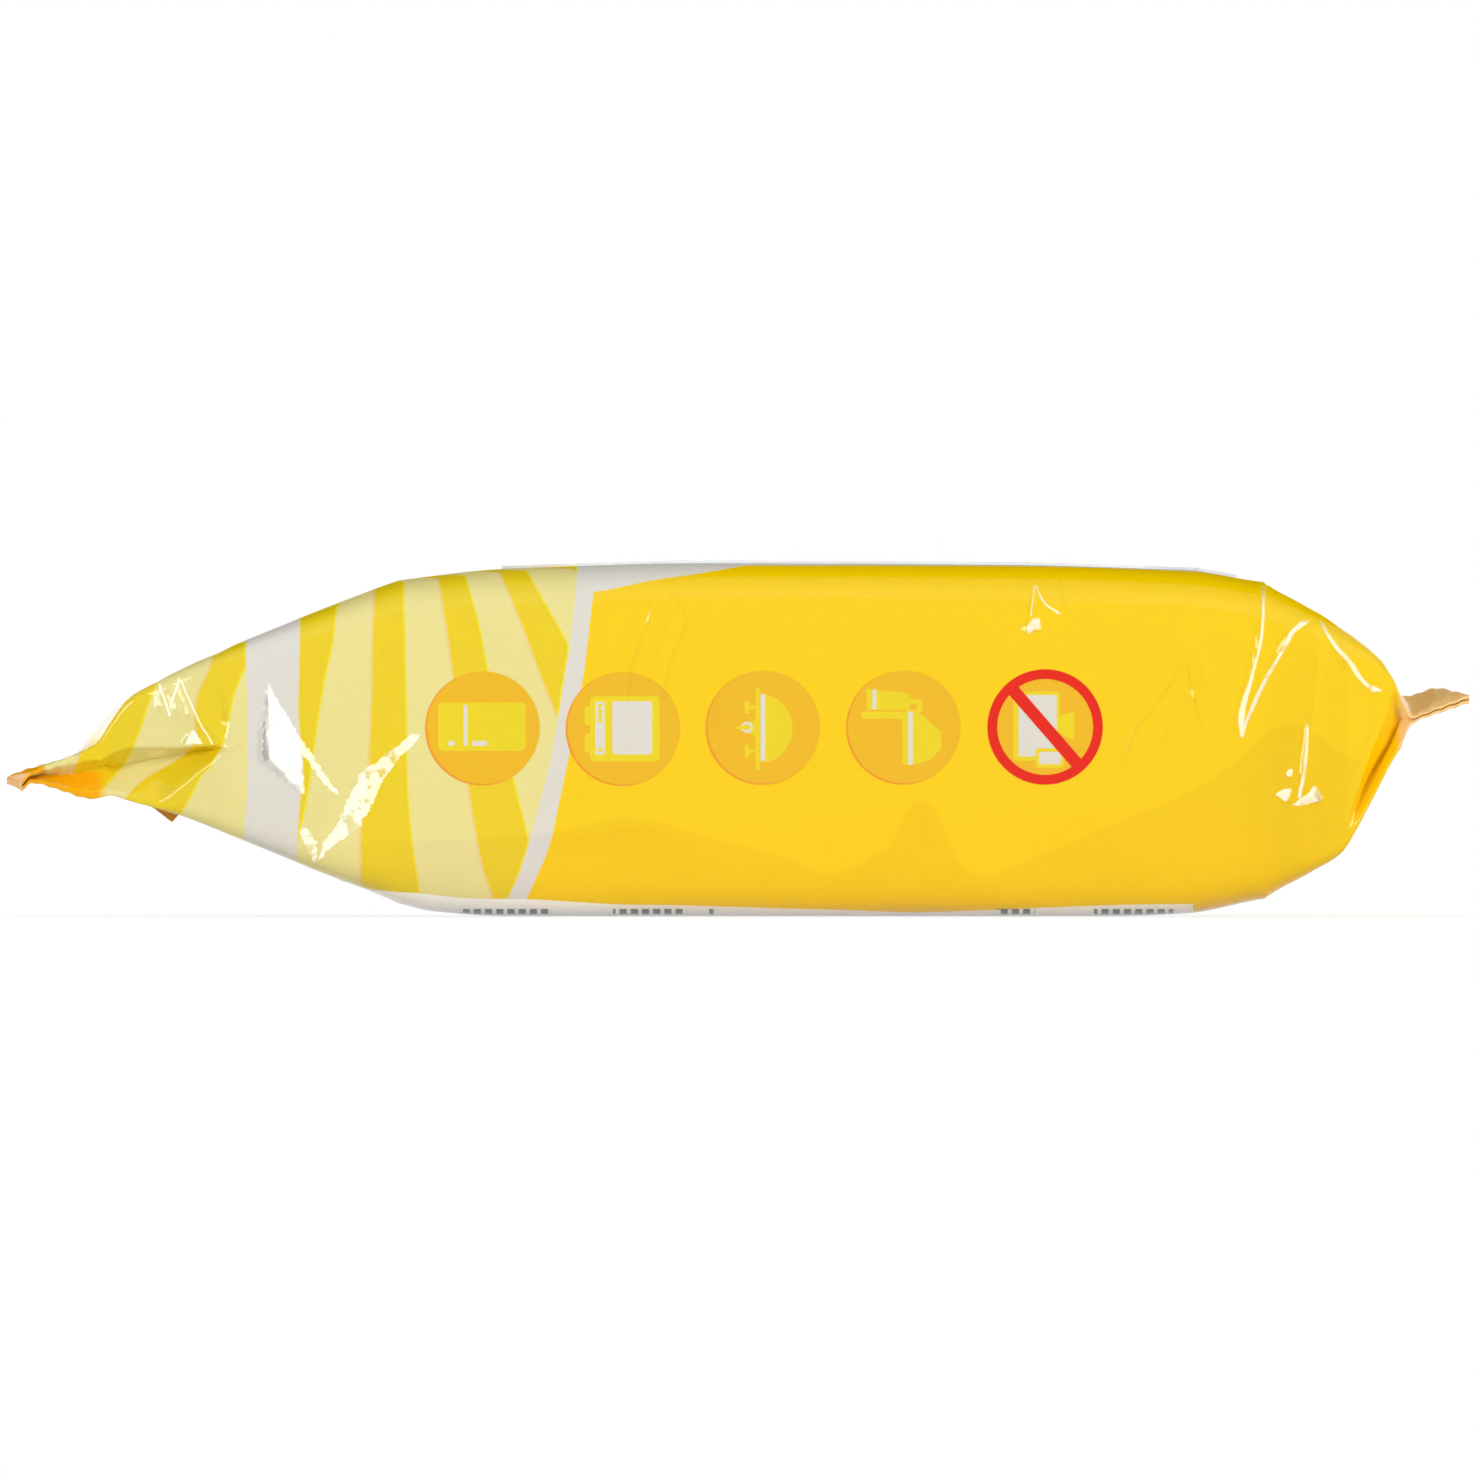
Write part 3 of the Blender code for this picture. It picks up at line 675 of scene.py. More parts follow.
def make_label():
    """The reseal label: a grid cut to its outline and laid on the film's top, then given a thickness."""
    middle = place_x(np.array((2.0, 3.0))).mean() + LABEL_SHIFT
    start, end = middle - LABEL_LENGTH / 2, middle + LABEL_LENGTH / 2
    label, column, row = add_grid("pale_reseal_label", LABEL_COLUMNS, LABEL_ROWS)
    body_columns = LABEL_COLUMNS - TAB_COLUMNS
    share = 2 * column / body_columns - 1
    crowded = share + LABEL_CROWDING * (share - share ** 3)
    on_tab = (column - body_columns) / TAB_COLUMNS
    x = np.where(on_tab > 0, end + TAB_LENGTH * on_tab, middle + LABEL_LENGTH / 2 * crowded)
    y = (2 * row / LABEL_ROWS - 1) * label_half_width(x, start, end)
    z = film_top(x, y) + LABEL_CLEARANCE
    label.data.vertices.foreach_set("co", np.stack((x, y, z), axis=1).ravel())
    label.data.update()
    thickness = label.modifiers.new("label film", "SOLIDIFY")
    thickness.thickness = LABEL_THICKNESS
    thickness.offset = 1
    bpy.ops.object.modifier_apply(modifier=thickness.name)
    bpy.ops.object.shade_smooth_by_angle(angle=LABEL_SMOOTHING)
    return label


# Node trees

FLOAT = "NodeSocketFloat"


class Board:
    """Adds nodes to one tree and wires them. A value may be a number, a colour or another node's output."""

    def __init__(self, tree):
        self.tree = tree

    def node(self, kind, values=(), **settings):
        made = self.tree.nodes.new(kind)
        for name, value in settings.items():
            setattr(made, name, value)
        for key, value in dict(values).items():
            self.feed(made.inputs[key], value)
        return made

    def feed(self, socket, value):
        if isinstance(value, bpy.types.NodeSocket):
            self.tree.links.new(value, socket)
        else:
            socket.default_value = value

    def math(self, operation, *values, clamp=False):
        made = self.node("ShaderNodeMath", dict(enumerate(values)), operation=operation, use_clamp=clamp)
        return made.outputs[0]

    def times(self, product, *values):
        for value in values:
            product = self.math("MULTIPLY", product, value)
        return product

    def minus(self, first, second):
        return self.math("SUBTRACT", first, second)

    def larger(self, first, second):
        return self.math("MAXIMUM", first, second)

    def less(self, value, limit):
        return self.math("LESS_THAN", value, limit)

    def linear(self, value, slope, start, clamp=False):
        return self.math("MULTIPLY_ADD", value, slope, start, clamp=clamp)

    def mix(self, factor, first, second, blend="MIX"):
        values = {0: factor, 6: first, 7: second}
        return self.node("ShaderNodeMix", values, data_type="RGBA", blend_type=blend).outputs[2]

    def noise(self, vector, scale, detail=2.0, roughness=0.5, distortion=0.0):
        values = {"Vector": vector, "Scale": scale, "Detail": detail, "Roughness": roughness,
                  "Distortion": distortion}
        return self.node("ShaderNodeTexNoise", values).outputs["Fac"]

    def ramp(self, value, low, high, to_low=0.0, to_high=1.0):
        """Runs from to_low at low to to_high at high, where high may also be the smaller number."""
        values = {0: value, 1: low, 2: high, 3: to_low, 4: to_high}
        return self.node("ShaderNodeMapRange", values, clamp=True).outputs[0]

    def attribute(self, name):
        return self.node("ShaderNodeAttribute", attribute_name=name).outputs["Fac"]

    def position(self):
        return self.node("ShaderNodeTexCoord").outputs["Object"]

    def split(self, vector):
        return self.node("ShaderNodeSeparateXYZ", {0: vector}).outputs

    def mask(self, tree, **values):
        """The mask of a shape's node group, whose inputs are named as here with capitals and spaces."""
        named = {key.replace("_", " ").title(): value for key, value in values.items()}
        return self.node("ShaderNodeGroup", named, node_tree=tree).outputs["Mask"]


def new_group(name, inputs, outputs):
    """An empty node group with named numbers in and out: its tree, its board and its two end nodes."""
    tree = bpy.data.node_groups.new(name, "ShaderNodeTree")
    for labels, side in ((inputs, "INPUT"), (outputs, "OUTPUT")):
        for label in labels:
            tree.interface.new_socket(label, in_out=side, socket_type=FLOAT)
    board = Board(tree)
    given, result = board.node("NodeGroupInput").outputs, board.node("NodeGroupOutput").inputs
    return tree, board, given, result


def new_material(name):
    """A material with its board and its shader."""
    material = bpy.data.materials.new(name)
    material.use_nodes = True
    return material, Board(material.node_tree), material.node_tree.nodes["Principled BSDF"]


def rgb(red, green, blue):
    """A screen colour of 0 to 255 as linear values."""
    linear = []
    for value in (red, green, blue):
        share = value / 255
        linear.append(share / 12.92 if share <= 0.04045 else ((share + 0.055) / 1.055) ** 2.4)
    return (*linear, 1.0)


# Borders of the printed stripes, in their order to the right: the print that starts there, and a line of
# (z, x) points in millimetres, which reaches far below and above the film.
STRIPE_BORDERS = (
    ("stripe", (-20, -113.0), (19.7, -113.4), (24.0, -112.4), (26.8, -111.4), (28.4, -110.7),
     (30.5, -109.8), (36.7, -109.7), (110, -112)),
    ("pale", (-20, -108.0), (19.7, -108.3), (24.0, -105.2), (27.6, -102.5), (28.9, -102.0),
     (32.2, -100.7), (35.7, -99.6), (38.9, -98.3), (42.2, -97.1), (110, -98)),
    ("stripe", (-20, -104.0), (17.2, -104.9), (20.2, -103.3), (22.4, -101.3), (24.0, -99.1),
     (25.7, -96.1), (27.0, -93.9), (30.4, -91.3), (33.0, -91.6), (38.2, -91.0), (40.5, -89.8),
     (43.5, -88.7), (46.9, -87.6), (110, -91)),
    ("pale", (-20, -96.0), (16.3, -94.4), (19.7, -92.7), (22.4, -91.3), (24.0, -90.5), (25.0, -89.2),
     (26.8, -88.3), (28.9, -87.0), (32.2, -86.2), (34.9, -85.6), (37.2, -85.1), (40.2, -84.0),
     (42.6, -83.0), (50.3, -83.2), (110, -86)),
    ("white", (-20, -85.0), (7.8, -84.0), (12.4, -83.6), (22.2, -82.8), (31.5, -82.8), (40.6, -83.0),
     (46.3, -83.1), (50.3, -83.1), (110, -84)),
    ("stripe", (-20, -75.0), (4.4, -74.8), (9.7, -74.6), (14.1, -74.3), (17.3, -74.1), (26.0, -73.5),
     (33.6, -74.2), (42.2, -74.1), (50.2, -74.0), (110, -76)),
    ("pale", (-20, -75.0), (4.4, -74.8), (9.7, -74.6), (13.6, -74.1), (16.8, -73.3), (21.6, -72.4),
     (31.5, -71.1), (40.1, -69.7), (46.1, -68.4), (52.5, -67.7), (56.3, -67.2), (110, -71.5)),
    ("stripe", (-20, -63.6), (5.4, -63.6), (15.1, -63.5), (18.4, -63.0), (33.6, -61.9), (47.7, -61.6),
     (54.6, -61.3), (58.8, -61.2), (110, -67)),
    ("pale", (-20, -50.0), (0.0, -53.2), (4.1, -53.7), (17.3, -55.4), (36.9, -55.9), (55.8, -56.4),
     (60.5, -56.6), (110, -62.5)),
    ("stripe", (-20, -34.0), (0.0, -40.3), (3.3, -41.3), (8.1, -42.9), (16.2, -44.5), (22.2, -45.4),
     (41.1, -48.0), (49.3, -49.2), (56.9, -50.5), (60.5, -51.2), (110, -58)),
    ("pale", (-20, -30.0), (0.0, -33.5), (6.1, -33.8), (9.5, -34.5), (12.8, -35.2), (17.9, -36.4),
     (23.3, -37.8), (32.8, -40.0), (42.2, -42.2), (49.8, -43.7), (57.5, -45.9), (60.5, -46.9),
     (110, -54)),
    ("stripe", (-20, -29.1), (26.5, -29.1), (29.9, -29.4), (33.6, -30.3), (37.4, -31.8), (41.7, -33.5),
     (50.3, -36.7), (58.1, -40.0), (60.5, -40.8), (110, -49.5)),
    ("pale", (-20, -27.4), (41.8, -27.4), (44.4, -27.9), (46.1, -28.6), (52.0, -31.8), (58.8, -35.6),
     (60.5, -36.4), (110, -45.5)),
    ("stripe", (-20, -25.0), (53.7, -25.0), (56.8, -26.0), (58.1, -27.1), (59.5, -28.3), (60.9, -29.4),
     (110, -41)),
    ("white", (-20, -48.0), (0.0, -40.3), (3.1, -38.8), (6.5, -37.2), (11.9, -35.4), (18.9, -33.5),
     (27.0, -31.5), (33.6, -30.3), (39.5, -29.4), (46.1, -28.3), (53.0, -27.5), (59.6, -27.1),
     (110, -30)),
    ("field", (-20, -45.0), (0.0, -37.4), (2.9, -35.7), (6.5, -34.0), (11.9, -31.8), (18.9, -30.2),
     (26.5, -28.6), (39.6, -26.2), (46.1, -25.3), (50.9, -24.8), (55.0, -24.3), (61.4, -23.8),
     (110, -22)),
)
# The upper borders of the field, of the underside's panel and of the painted duller reflection low on the
# front: (x, z) in millimetres
FIELD_TOP = (
    (-40, 54.0), (-24.3, 55.0), (-22.1, 55.3), (-18.3, 56.1), (-13.9, 57.0), (-5.8, 58.2), (2.4, 59.6),
    (6.6, 60.0), (30, 62.5), (60, 66), (76, 70), (88, 90), (95, 130),
)
PANEL_TOP = (
    (-70, 5.2), (-64.0, 4.8), (-58.5, 4.2), (-53.6, 3.9), (-50.3, 3.5), (-45.7, 3.1), (-35.7, 2.9),
    (-27.5, 2.4), (-19.9, 2.0), (-11.9, 1.9), (6.3, 1.4), (20.1, 1.0), (29.1, 0.7), (41.3, 1.0),
    (58.4, 1.7), (67.5, 2.0), (80, 2.1),
)
LOW_REFLECTION_TOP = (
    (-80, 12.0), (-57.3, 12.7), (-44.0, 13.1), (-30.7, 14.4), (-17.4, 16.6), (-4.1, 13.1), (9.2, 9.8),
    (15.2, 7.4), (24.0, 10.8), (26.7, 13.4), (29.3, 18.7), (31.3, 19.7), (33.6, 18.1), (36.0, 12.7),
    (39.3, 7.6), (42.6, 7.1), (50.6, 10.1), (63.9, 15.7), (77.2, 21.4), (85.1, 26.7), (89.1, 30.7),
    (93.9, 32.7), (97.0, 31.6), (102.0, 28.0), (112, 24),
)
# Bands of the front whose film leans over and catches a lamp: rows of z, left x and right x in millimetres
LEANING_RIGHT = (
    ((20.6, -73.6, -73.2), (23.0, -76.4, -73.4), (26.0, -79.9, -73.7), (31.0, -80.3, -74.5),
     (35.0, -80.0, -76.6), (39.6, -79.5, -79.2)),
    ((20.8, -68.0, -67.4), (22.4, -69.9, -68.6), (24.0, -71.0, -69.7), (26.0, -72.4, -71.0),
     (27.6, -73.6, -71.9), (29.8, -74.3, -73.6)),
    ((9.7, -71.0, -70.5), (12.6, -69.9, -67.4), (15.0, -68.2, -64.2), (17.4, -66.9, -62.8),
     (20.1, -65.7, -61.2), (22.4, -64.5, -60.4), (24.7, -63.3, -58.8), (26.2, -61.2, -57.6),
     (27.8, -59.1, -56.3), (28.9, -57.6, -55.2), (30.8, -55.3, -53.6)),
    ((9.3, -71.6, -71.3), (11.0, -72.6, -71.2), (12.6, -73.4, -71.4), (14.2, -74.0, -72.2),
     (14.9, -73.6, -72.9)),
)
LEANING_LEFT = (
    ((30.4, 85.3, 85.9), (33.6, 84.9, 85.9), (41.0, 87.1, 87.6), (47.4, 88.6, 89.1), (55.8, 89.0, 89.4)),
    ((31.0, 85.4, 85.9), (34.7, 86.7, 87.4), (39.7, 89.0, 89.7), (45.8, 92.6, 93.3), (48.6, 93.9, 95.0),
     (50.0, 95.6, 97.2)),
    ((38.1, 107.5, 109.2), (38.7, 106.5, 110.2), (39.2, 106.1, 107.2), (40.8, 104.7, 105.6),
     (42.7, 103.6, 104.5), (44.7, 101.7, 102.6), (46.9, 100.2, 100.9), (50.0, 98.8, 99.2)),
    ((20.2, 95.0, 95.6), (24.7, 96.0, 96.5), (29.0, 96.4, 96.8), (32.0, 96.6, 96.9)),
    ((19.6, 92.7, 93.3), (20.4, 91.6, 93.5), (20.9, 91.0, 93.9), (21.6, 93.1, 94.0)),
    ((18.8, 93.9, 95.0), (19.4, 94.4, 98.4), (20.0, 95.8, 99.4), (21.0, 97.0, 98.7), (22.0, 97.6, 98.1)),
    ((23.8, 93.3, 93.9), (24.3, 92.8, 94.3), (24.9, 93.4, 94.2)),
    ((48.0, 49.2, 49.8), (48.8, 48.9, 51.2), (49.6, 49.4, 51.6), (50.4, 50.2, 51.2)),
    ((50.8, 49.7, 49.9), (53.0, 49.9, 50.1), (56.0, 50.3, 50.5)),
    ((51.2, 54.2, 55.0), (52.2, 52.7, 53.2), (54.0, 51.4, 51.7), (56.0, 50.6, 50.8)),
    ((34.0, -96.2, -95.8), (36.5, -97.0, -96.6), (39.4, -98.0, -97.6)),
    ((35.3, -96.1, -95.8), (38.0, -95.3, -94.9), (40.3, -94.6, -94.3)),
    ((29.2, -89.0, -88.7), (32.0, -90.6, -90.3), (36.0, -92.5, -92.2), (40.0, -94.2, -93.9)),
    ((29.2, -93.4, -90.4), (30.2, -92.9, -91.0), (31.4, -92.2, -91.9)),
)
# Those bands, the direction that their film faces, and the share of it that their dullest patches show
LEANING_BANDS = (
    (LEANING_RIGHT, (0.44, -0.893, 0.089), 0.35), (LEANING_LEFT, (-0.355, -0.922, 0.129), 0.75),
)

# Fine folds of the front: each is a line of (z, x) points in millimetres, from its lower to its upper end
FINE_FOLDS = (
    ((34.7, -18.4), (39.3, -18.1), (43.3, -17.4), (47.3, -16.1), (50.6, -14.8), (55.3, -14.4)),
    ((34.0, -13.1), (38.7, -12.1), (43.3, -11.1), (47.6, -9.3), (50.6, -8.4), (54.3, -10.8), (56.6, -13.1)),
    ((24.0, 65.9), (30.7, 67.2), (35.3, 70.5), (42.7, 75.5), (44.6, 76.5)),
    ((31.3, 79.2), (38.7, 77.2), (44.6, 76.5)),
    ((27.6, 71.9), (31.4, 73.2), (33.0, 76.4)),
    ((50.0, 49.6), (53.3, 49.9), (56.6, 50.6)),
    ((51.6, 54.6), (52.6, 53.2), (56.0, 50.6)),
    ((51.6, 55.9), (55.3, 55.1), (58.9, 54.9)),
)
# The print's colours, the right seal's cream with a painted sheen, the painted shade of the right tuck, and
# the tone of the painted duller reflection low on the front
PALE = rgb(236, 224, 146)
STRIPE = rgb(238, 208, 30)
LEMON = rgb(243, 224, 30)
BLUSH = rgb(240, 205, 140)
WHITE = rgb(224, 220, 210)
FIELD = rgb(250, 208, 0)
SIGN = rgb(240, 186, 28)
SIGN_RIM = rgb(238, 150, 34)
SIGN_YELLOW = rgb(238, 214, 28)
RED = rgb(231, 30, 0)
SEAL_ORANGE = rgb(248, 172, 10)
# Right seal: its film's tone with a painted sheen, paler cream than the left seal for its brightly lit crimps
RIGHT_SEAL_CREAM_SHEEN = rgb(250, 208, 138)
# Painted reflection: this tone multiplies the front's lower part to a duller yellow
LOW_REFLECTION_TONE = (0.955, 0.93, 1.0, 1.0)
# Painted shade: the orange that the right tuck's walls are painted, for the shade inside the fold
TUCK_SHADE_ORANGE = rgb(255, 204, 12)
PANEL = rgb(253, 251, 238)
GREY = rgb(120, 122, 122)

# The span of a border's curve, the soft edge of a shape and the far ends of a border, in millimetres
CURVE_LOW, CURVE_HIGH = -140.0, 140.0
SOFT_EDGE = 0.12
FAR_BELOW, FAR_ABOVE = -20, 110


def border(board, value, points):
    """A Float Curve that reads a border's place, in millimetres, at a value in millimetres."""
    span = CURVE_HIGH - CURVE_LOW
    made = board.node("ShaderNodeFloatCurve")
    curve = made.mapping.curves[0]
    spots = [((a - CURVE_LOW) / span, (b - CURVE_LOW) / span) for a, b in points]
    curve.points[0].location = spots[0]
    curve.points[1].location = spots[-1]
    for spot in spots[1:-1]:
        curve.points.new(*spot)
    for point in curve.points:
        point.handle_type = "AUTO"
    made.mapping.update()
    board.feed(made.inputs["Value"], board.linear(value, 1 / span, -CURVE_LOW / span))
    return board.linear(made.outputs[0], span, CURVE_LOW)


def upright_border(board, up, line):
    """A border that goes on straight up and down past its two ends."""
    return border(board, up, ((FAR_BELOW, line[0][1]), *line, (FAR_ABOVE, line[-1][1])))


def past(board, value, limit):
    """1 where value is past limit, with a soft edge."""
    return board.linear(board.minus(value, limit), 1 / SOFT_EDGE, 0.5, clamp=True)


def stripes_group():
    """Which print lies at a place: masks of the yellow stripes, the white parts and the plain field."""
    tree, board, given, result = new_group("stripe print", ("Across", "Up"), ("Stripe", "White", "Field"))
    across_mm, up = given["Across"], given["Up"]
    masks = {"stripe": 0.0, "white": 0.0, "field": 0.0}
    for kind, *points in STRIPE_BORDERS:
        beyond = past(board, across_mm, border(board, up, points))
        for name, mask in masks.items():
            if name == kind:
                masks[name] = board.larger(mask, beyond)
            elif mask != 0.0:
                masks[name] = board.times(mask, board.minus(1.0, beyond))
    below = board.minus(1.0, past(board, up, border(board, across_mm, FIELD_TOP)))
    field = board.times(masks["field"], below)
    board.feed(result["Stripe"], masks["stripe"])
    board.feed(result["White"], board.math("ADD", masks["white"], board.minus(masks["field"], field)))
    board.feed(result["Field"], field)
    return tree


def length(board, first, second):
    squares = board.math("ADD", board.times(first, first), board.times(second, second))
    return board.math("SQRT", squares)


def disc_group():
    """A round spot: 1 inside its radius."""
    tree, board, given, result = new_group("round spot", ("Across", "Up", "Radius"), ("Mask",))
    board.feed(result["Mask"], past(board, given["Radius"], length(board, given["Across"], given["Up"])))
    return tree


def panel_group():
    """A rectangle with round corners: 1 inside."""
    inputs = ("Across", "Up", "Half Width", "Half Height", "Corner")
    tree, board, given, result = new_group("round panel", inputs, ("Mask",))
    outside = []
    for place, half in (("Across", "Half Width"), ("Up", "Half Height")):
        core = board.minus(given[half], given["Corner"])
        outside.append(board.larger(board.minus(board.math("ABSOLUTE", given[place]), core), 0.0))
    board.feed(result["Mask"], past(board, given["Corner"], length(board, *outside)))
    return tree


# Corners of the signs' small parts, in millimetres
SHARP = 0.1


class Signs:
    """Draws simple shapes over a colour, in millimetres from the middle of a round sign."""

    def __init__(self, board, across_mm, up, colour):
        self.board, self.across, self.up, self.colour = board, across_mm, up, colour
        self.disc_tree, self.panel_tree = disc_group(), panel_group()
        self.middle = (0.0, 0.0)

    def at(self, x, z):
        return (self.board.minus(self.across, self.middle[0] + x),
                self.board.minus(self.up, self.middle[1] + z))

    def paint(self, colour, mask):
        self.colour = self.board.mix(mask, self.colour, colour)

    def panel(self, colour, left, right, low, high, corner=SHARP):
        x, z = self.at((left + right) / 2, (low + high) / 2)
        self.paint(colour, self.board.mask(self.panel_tree, across=x, up=z, half_width=(right - left) / 2,
                                           half_height=(high - low) / 2, corner=corner))

    def disc_mask(self, x, z, radius):
        x, z = self.at(x, z)
        return self.board.mask(self.disc_tree, across=x, up=z, radius=radius)

    def disc(self, colour, x, z, radius):
        self.paint(colour, self.disc_mask(x, z, radius))

    def polygon(self, colour, *points):
        """A convex shape, whose points run clockwise as seen."""
        x, z = self.at(0, 0)
        gaps = []
        for (ax, az), (bx, bz) in zip(points, points[1:] + points[:1]):
            edge = math.hypot(bx - ax, bz - az)
            nx, nz = (az - bz) / edge, (bx - ax) / edge
            along_z = self.board.linear(z, nz, -(ax * nx + az * nz))
            gaps.append(self.board.math("ADD", self.board.times(x, nx), along_z))
        worst = gaps[0]
        for gap in gaps[1:]:
            worst = self.board.larger(worst, gap)
        self.paint(colour, past(self.board, 0.0, worst))


def draw_cold_store(signs):
    signs.panel(SIGN_YELLOW, -7.6, 7.2, -3.9, 4.3, 0.9)
    signs.panel(WHITE, -3.3, -2.65, -3.0, 3.9)
    signs.panel(WHITE, -5.9, -4.8, -3.0, -2.25)
    signs.panel(WHITE, -1.8, 0.6, -3.05, -2.2)


def draw_oven(signs):
    signs.panel(SIGN_YELLOW, -6.6, -5.0, 0.6, 3.7, 0.5)
    signs.panel(SIGN_YELLOW, -6.6, -5.0, -4.15, -0.9, 0.5)
    signs.panel(SIGN_YELLOW, -5.7, 6.1, -5.6, 5.5, 0.9)
    signs.panel(WHITE, -1.9, 4.8, -4.4, 4.6, 0.5)
    signs.panel(WHITE, -4.8, -3.2, -4.4, 4.5)
    for z in (3.8, 2.9, 2.1, 1.3, -3.6):
        signs.disc(SIGN_YELLOW, -4.0, z, 0.38)


def draw_basin(signs):
    bowl = signs.disc_mask(-1.1, -0.2, 6.0)
    right_half, _ = signs.at(0.25, 0)
    signs.paint(SIGN_YELLOW, signs.board.times(bowl, past(signs.board, right_half, 0.0)))
    signs.panel(SIGN_YELLOW, -1.35, -0.55, -7.3, 6.6)
    signs.panel(WHITE, -0.5, 0.3, -5.7, 5.6)
    for z in (3.4, -4.0):
        signs.panel(SIGN_YELLOW, -2.6, -1.2, z - 0.3, z + 0.3)
        signs.panel(SIGN_YELLOW, -3.2, -2.45, z - 1.1, z + 1.1)
    signs.polygon(SIGN_YELLOW, (-5.0, -0.1), (-1.3, 1.2), (-1.3, -1.5))
    signs.disc(WHITE, -2.8, 0.0, 0.95)
    signs.disc(SIGN_YELLOW, -2.8, 0.0, 0.55)
    signs.panel(SIGN_YELLOW, -3.9, -3.1, -0.3, 0.3)


def draw_toilet(signs):
    signs.panel(SIGN_YELLOW, 0.4, 3.1, 2.4, 4.75, 0.7)
    signs.panel(SIGN, 0.9, 2.2, 2.8, 3.95, 0.3)
    signs.polygon(SIGN_YELLOW, (-6.4, 6.5), (0.8, 5.7), (0.8, 2.9), (-6.3, 2.9))
    signs.panel(WHITE, -5.35, -4.7, 3.0, 6.35)
    signs.panel(SIGN_YELLOW, -7.2, 0.3, 1.4, 2.6)
    signs.panel(SIGN_YELLOW, -0.3, 0.7, -6.45, 2.6)
    signs.panel(WHITE, 0.7, 1.5, -6.4, 2.6)
    signs.polygon(SIGN_YELLOW, (1.5, 2.6), (3.15, 2.0), (6.2, -0.75), (6.35, -3.5), (4.4, -5.6), (1.5, -6.45))


# The red ring and bar of the struck-out sign
RING_RADIUS, RING_INSIDE = 9.78, 8.1
BAR_REACH, BAR_HALF_WIDTH, BAR_SLOPE = 9.0, 1.06, math.radians(49)


def draw_no_flushing(signs):
    signs.polygon(SIGN_YELLOW, (2.4, 1.9), (4.9, 2.6), (4.9, -2.3), (2.4, -1.0))
    signs.panel(SIGN_YELLOW, -5.4, 2.5, -5.7, 6.0, 0.8)
    signs.panel(WHITE, -4.5, 1.95, -5.0, 5.4, 0.3)
    signs.panel(SIGN_YELLOW, -1.6, 3.2, -6.9, -3.6, 0.5)
    signs.panel(WHITE, -1.05, 2.65, -6.3, -4.2, 0.3)
    ring = signs.board.minus(signs.disc_mask(0, 0, RING_RADIUS), signs.disc_mask(0, 0, RING_INSIDE))
    signs.paint(RED, ring)
    dx, dz = BAR_REACH * math.cos(BAR_SLOPE), BAR_REACH * math.sin(BAR_SLOPE)
    wx, wz = BAR_HALF_WIDTH * math.sin(BAR_SLOPE), BAR_HALF_WIDTH * math.cos(BAR_SLOPE)
    signs.polygon(RED, (-dx - wx, dz - wz), (-dx + wx, dz + wz), (dx + wx, -dz + wz), (dx - wx, -dz - wz))


# The round signs: their size, the rim's and the spot's place, and each one's middle and figure
SIGN_RADIUS = 9.65
SIGN_RIM_WIDTH = 0.1
SIGN_RIM_AT, SIGN_AT = (-0.18, -0.12), (0.05, 0.02)
SIGNS = (
    (-43.0, 31.95, draw_cold_store), (-19.2, 31.85, draw_oven), (4.5, 32.05, draw_basin),
    (28.3, 32.1, draw_toilet), (52.2, 32.1, draw_no_flushing),
)

# Other places of the print and of the painted reflection, in millimetres: how far the second ink lies out of
# place, the underside's panel and its dashed bars, where the painted duller reflection low on the front
# starts and is full, and the top of the lower lip
INK_SLIP = 0.32
PANEL_MIDDLE, PANEL_REACH = 6.0, 71.3
GREY_BARS = ((-46.5, -31.5), (-21.0, -8.5), (-5.0, -4.0), (60.5, 74.0), (44.0, 50.5))
BAR_LOW, BAR_HIGH = 0.35, 1.25
DASH_STEP, DASH_GAP_SHARE = 1.9, 0.36
LOW_REFLECTION_EDGE = (0.3, -0.3)
LOW_REFLECTION_LEFT, LOW_REFLECTION_RIGHT = (-66, -50), (112, 100)
LOWER_LIP_TOP = 24.5

# Where each ink of the seals and the right tuck's painted shade start and are full, in zones, and what counts
# as a tuck's wall
LEFT_SEAL_INK = (1.07, 1.02)
LEFT_LIP_INK = (0.36, 0.3)
RIGHT_SEAL_INK = (3.97, 4.0)
RIGHT_TUCK_SHADE = (3.5, 3.62)
ANY_WALL, LOWER_WALL = (0.3, 0.7), (1.2, 1.4)
# The fine grain of the ink: its scale, and its range of noise with the tones that this gives
GRAIN_SCALE, GRAIN_TONES = 900.0, (0.3, 0.7, 0.985, 1.0)


class FilmPlace:
    """Where a point of the film lies: in the print in millimetres, in zones, and on which part of it."""

    def __init__(self, board):
        printed = board.split(board.node("ShaderNodeUVMap", uv_map="print").outputs[0])
        span = PRINT_SPAN / MM
        self.across, self.up = (board.linear(printed[axis], span, -span / 2) for axis in (0, 1))
        self.position = board.position()
        self.is_front = board.less(board.split(self.position)[1], 0.0)
        self.zone, self.tuck, self.upward = (board.attribute(name) for name in ("zone", "tuck", "upward"))


def striped_print(board, film):
    """Stripes, white parts and the plain field, whose second ink lies a little out of place."""
    stripes = stripes_group()
    inks = []
    for slip in (0.0, INK_SLIP):
        values = {"Across": board.math("ADD", film.across, slip), "Up": film.up}
        inks.append(board.node("ShaderNodeGroup", values, node_tree=stripes).outputs)
    yellow, red = inks[0]["Stripe"], inks[1]["Stripe"]
    colour = board.mix(red, PALE, BLUSH)
    colour = board.mix(yellow, colour, LEMON)
    colour = board.mix(board.times(yellow, red), colour, STRIPE)
    colour = board.mix(inks[0]["White"], colour, WHITE)
    return board.mix(inks[0]["Field"], colour, FIELD)


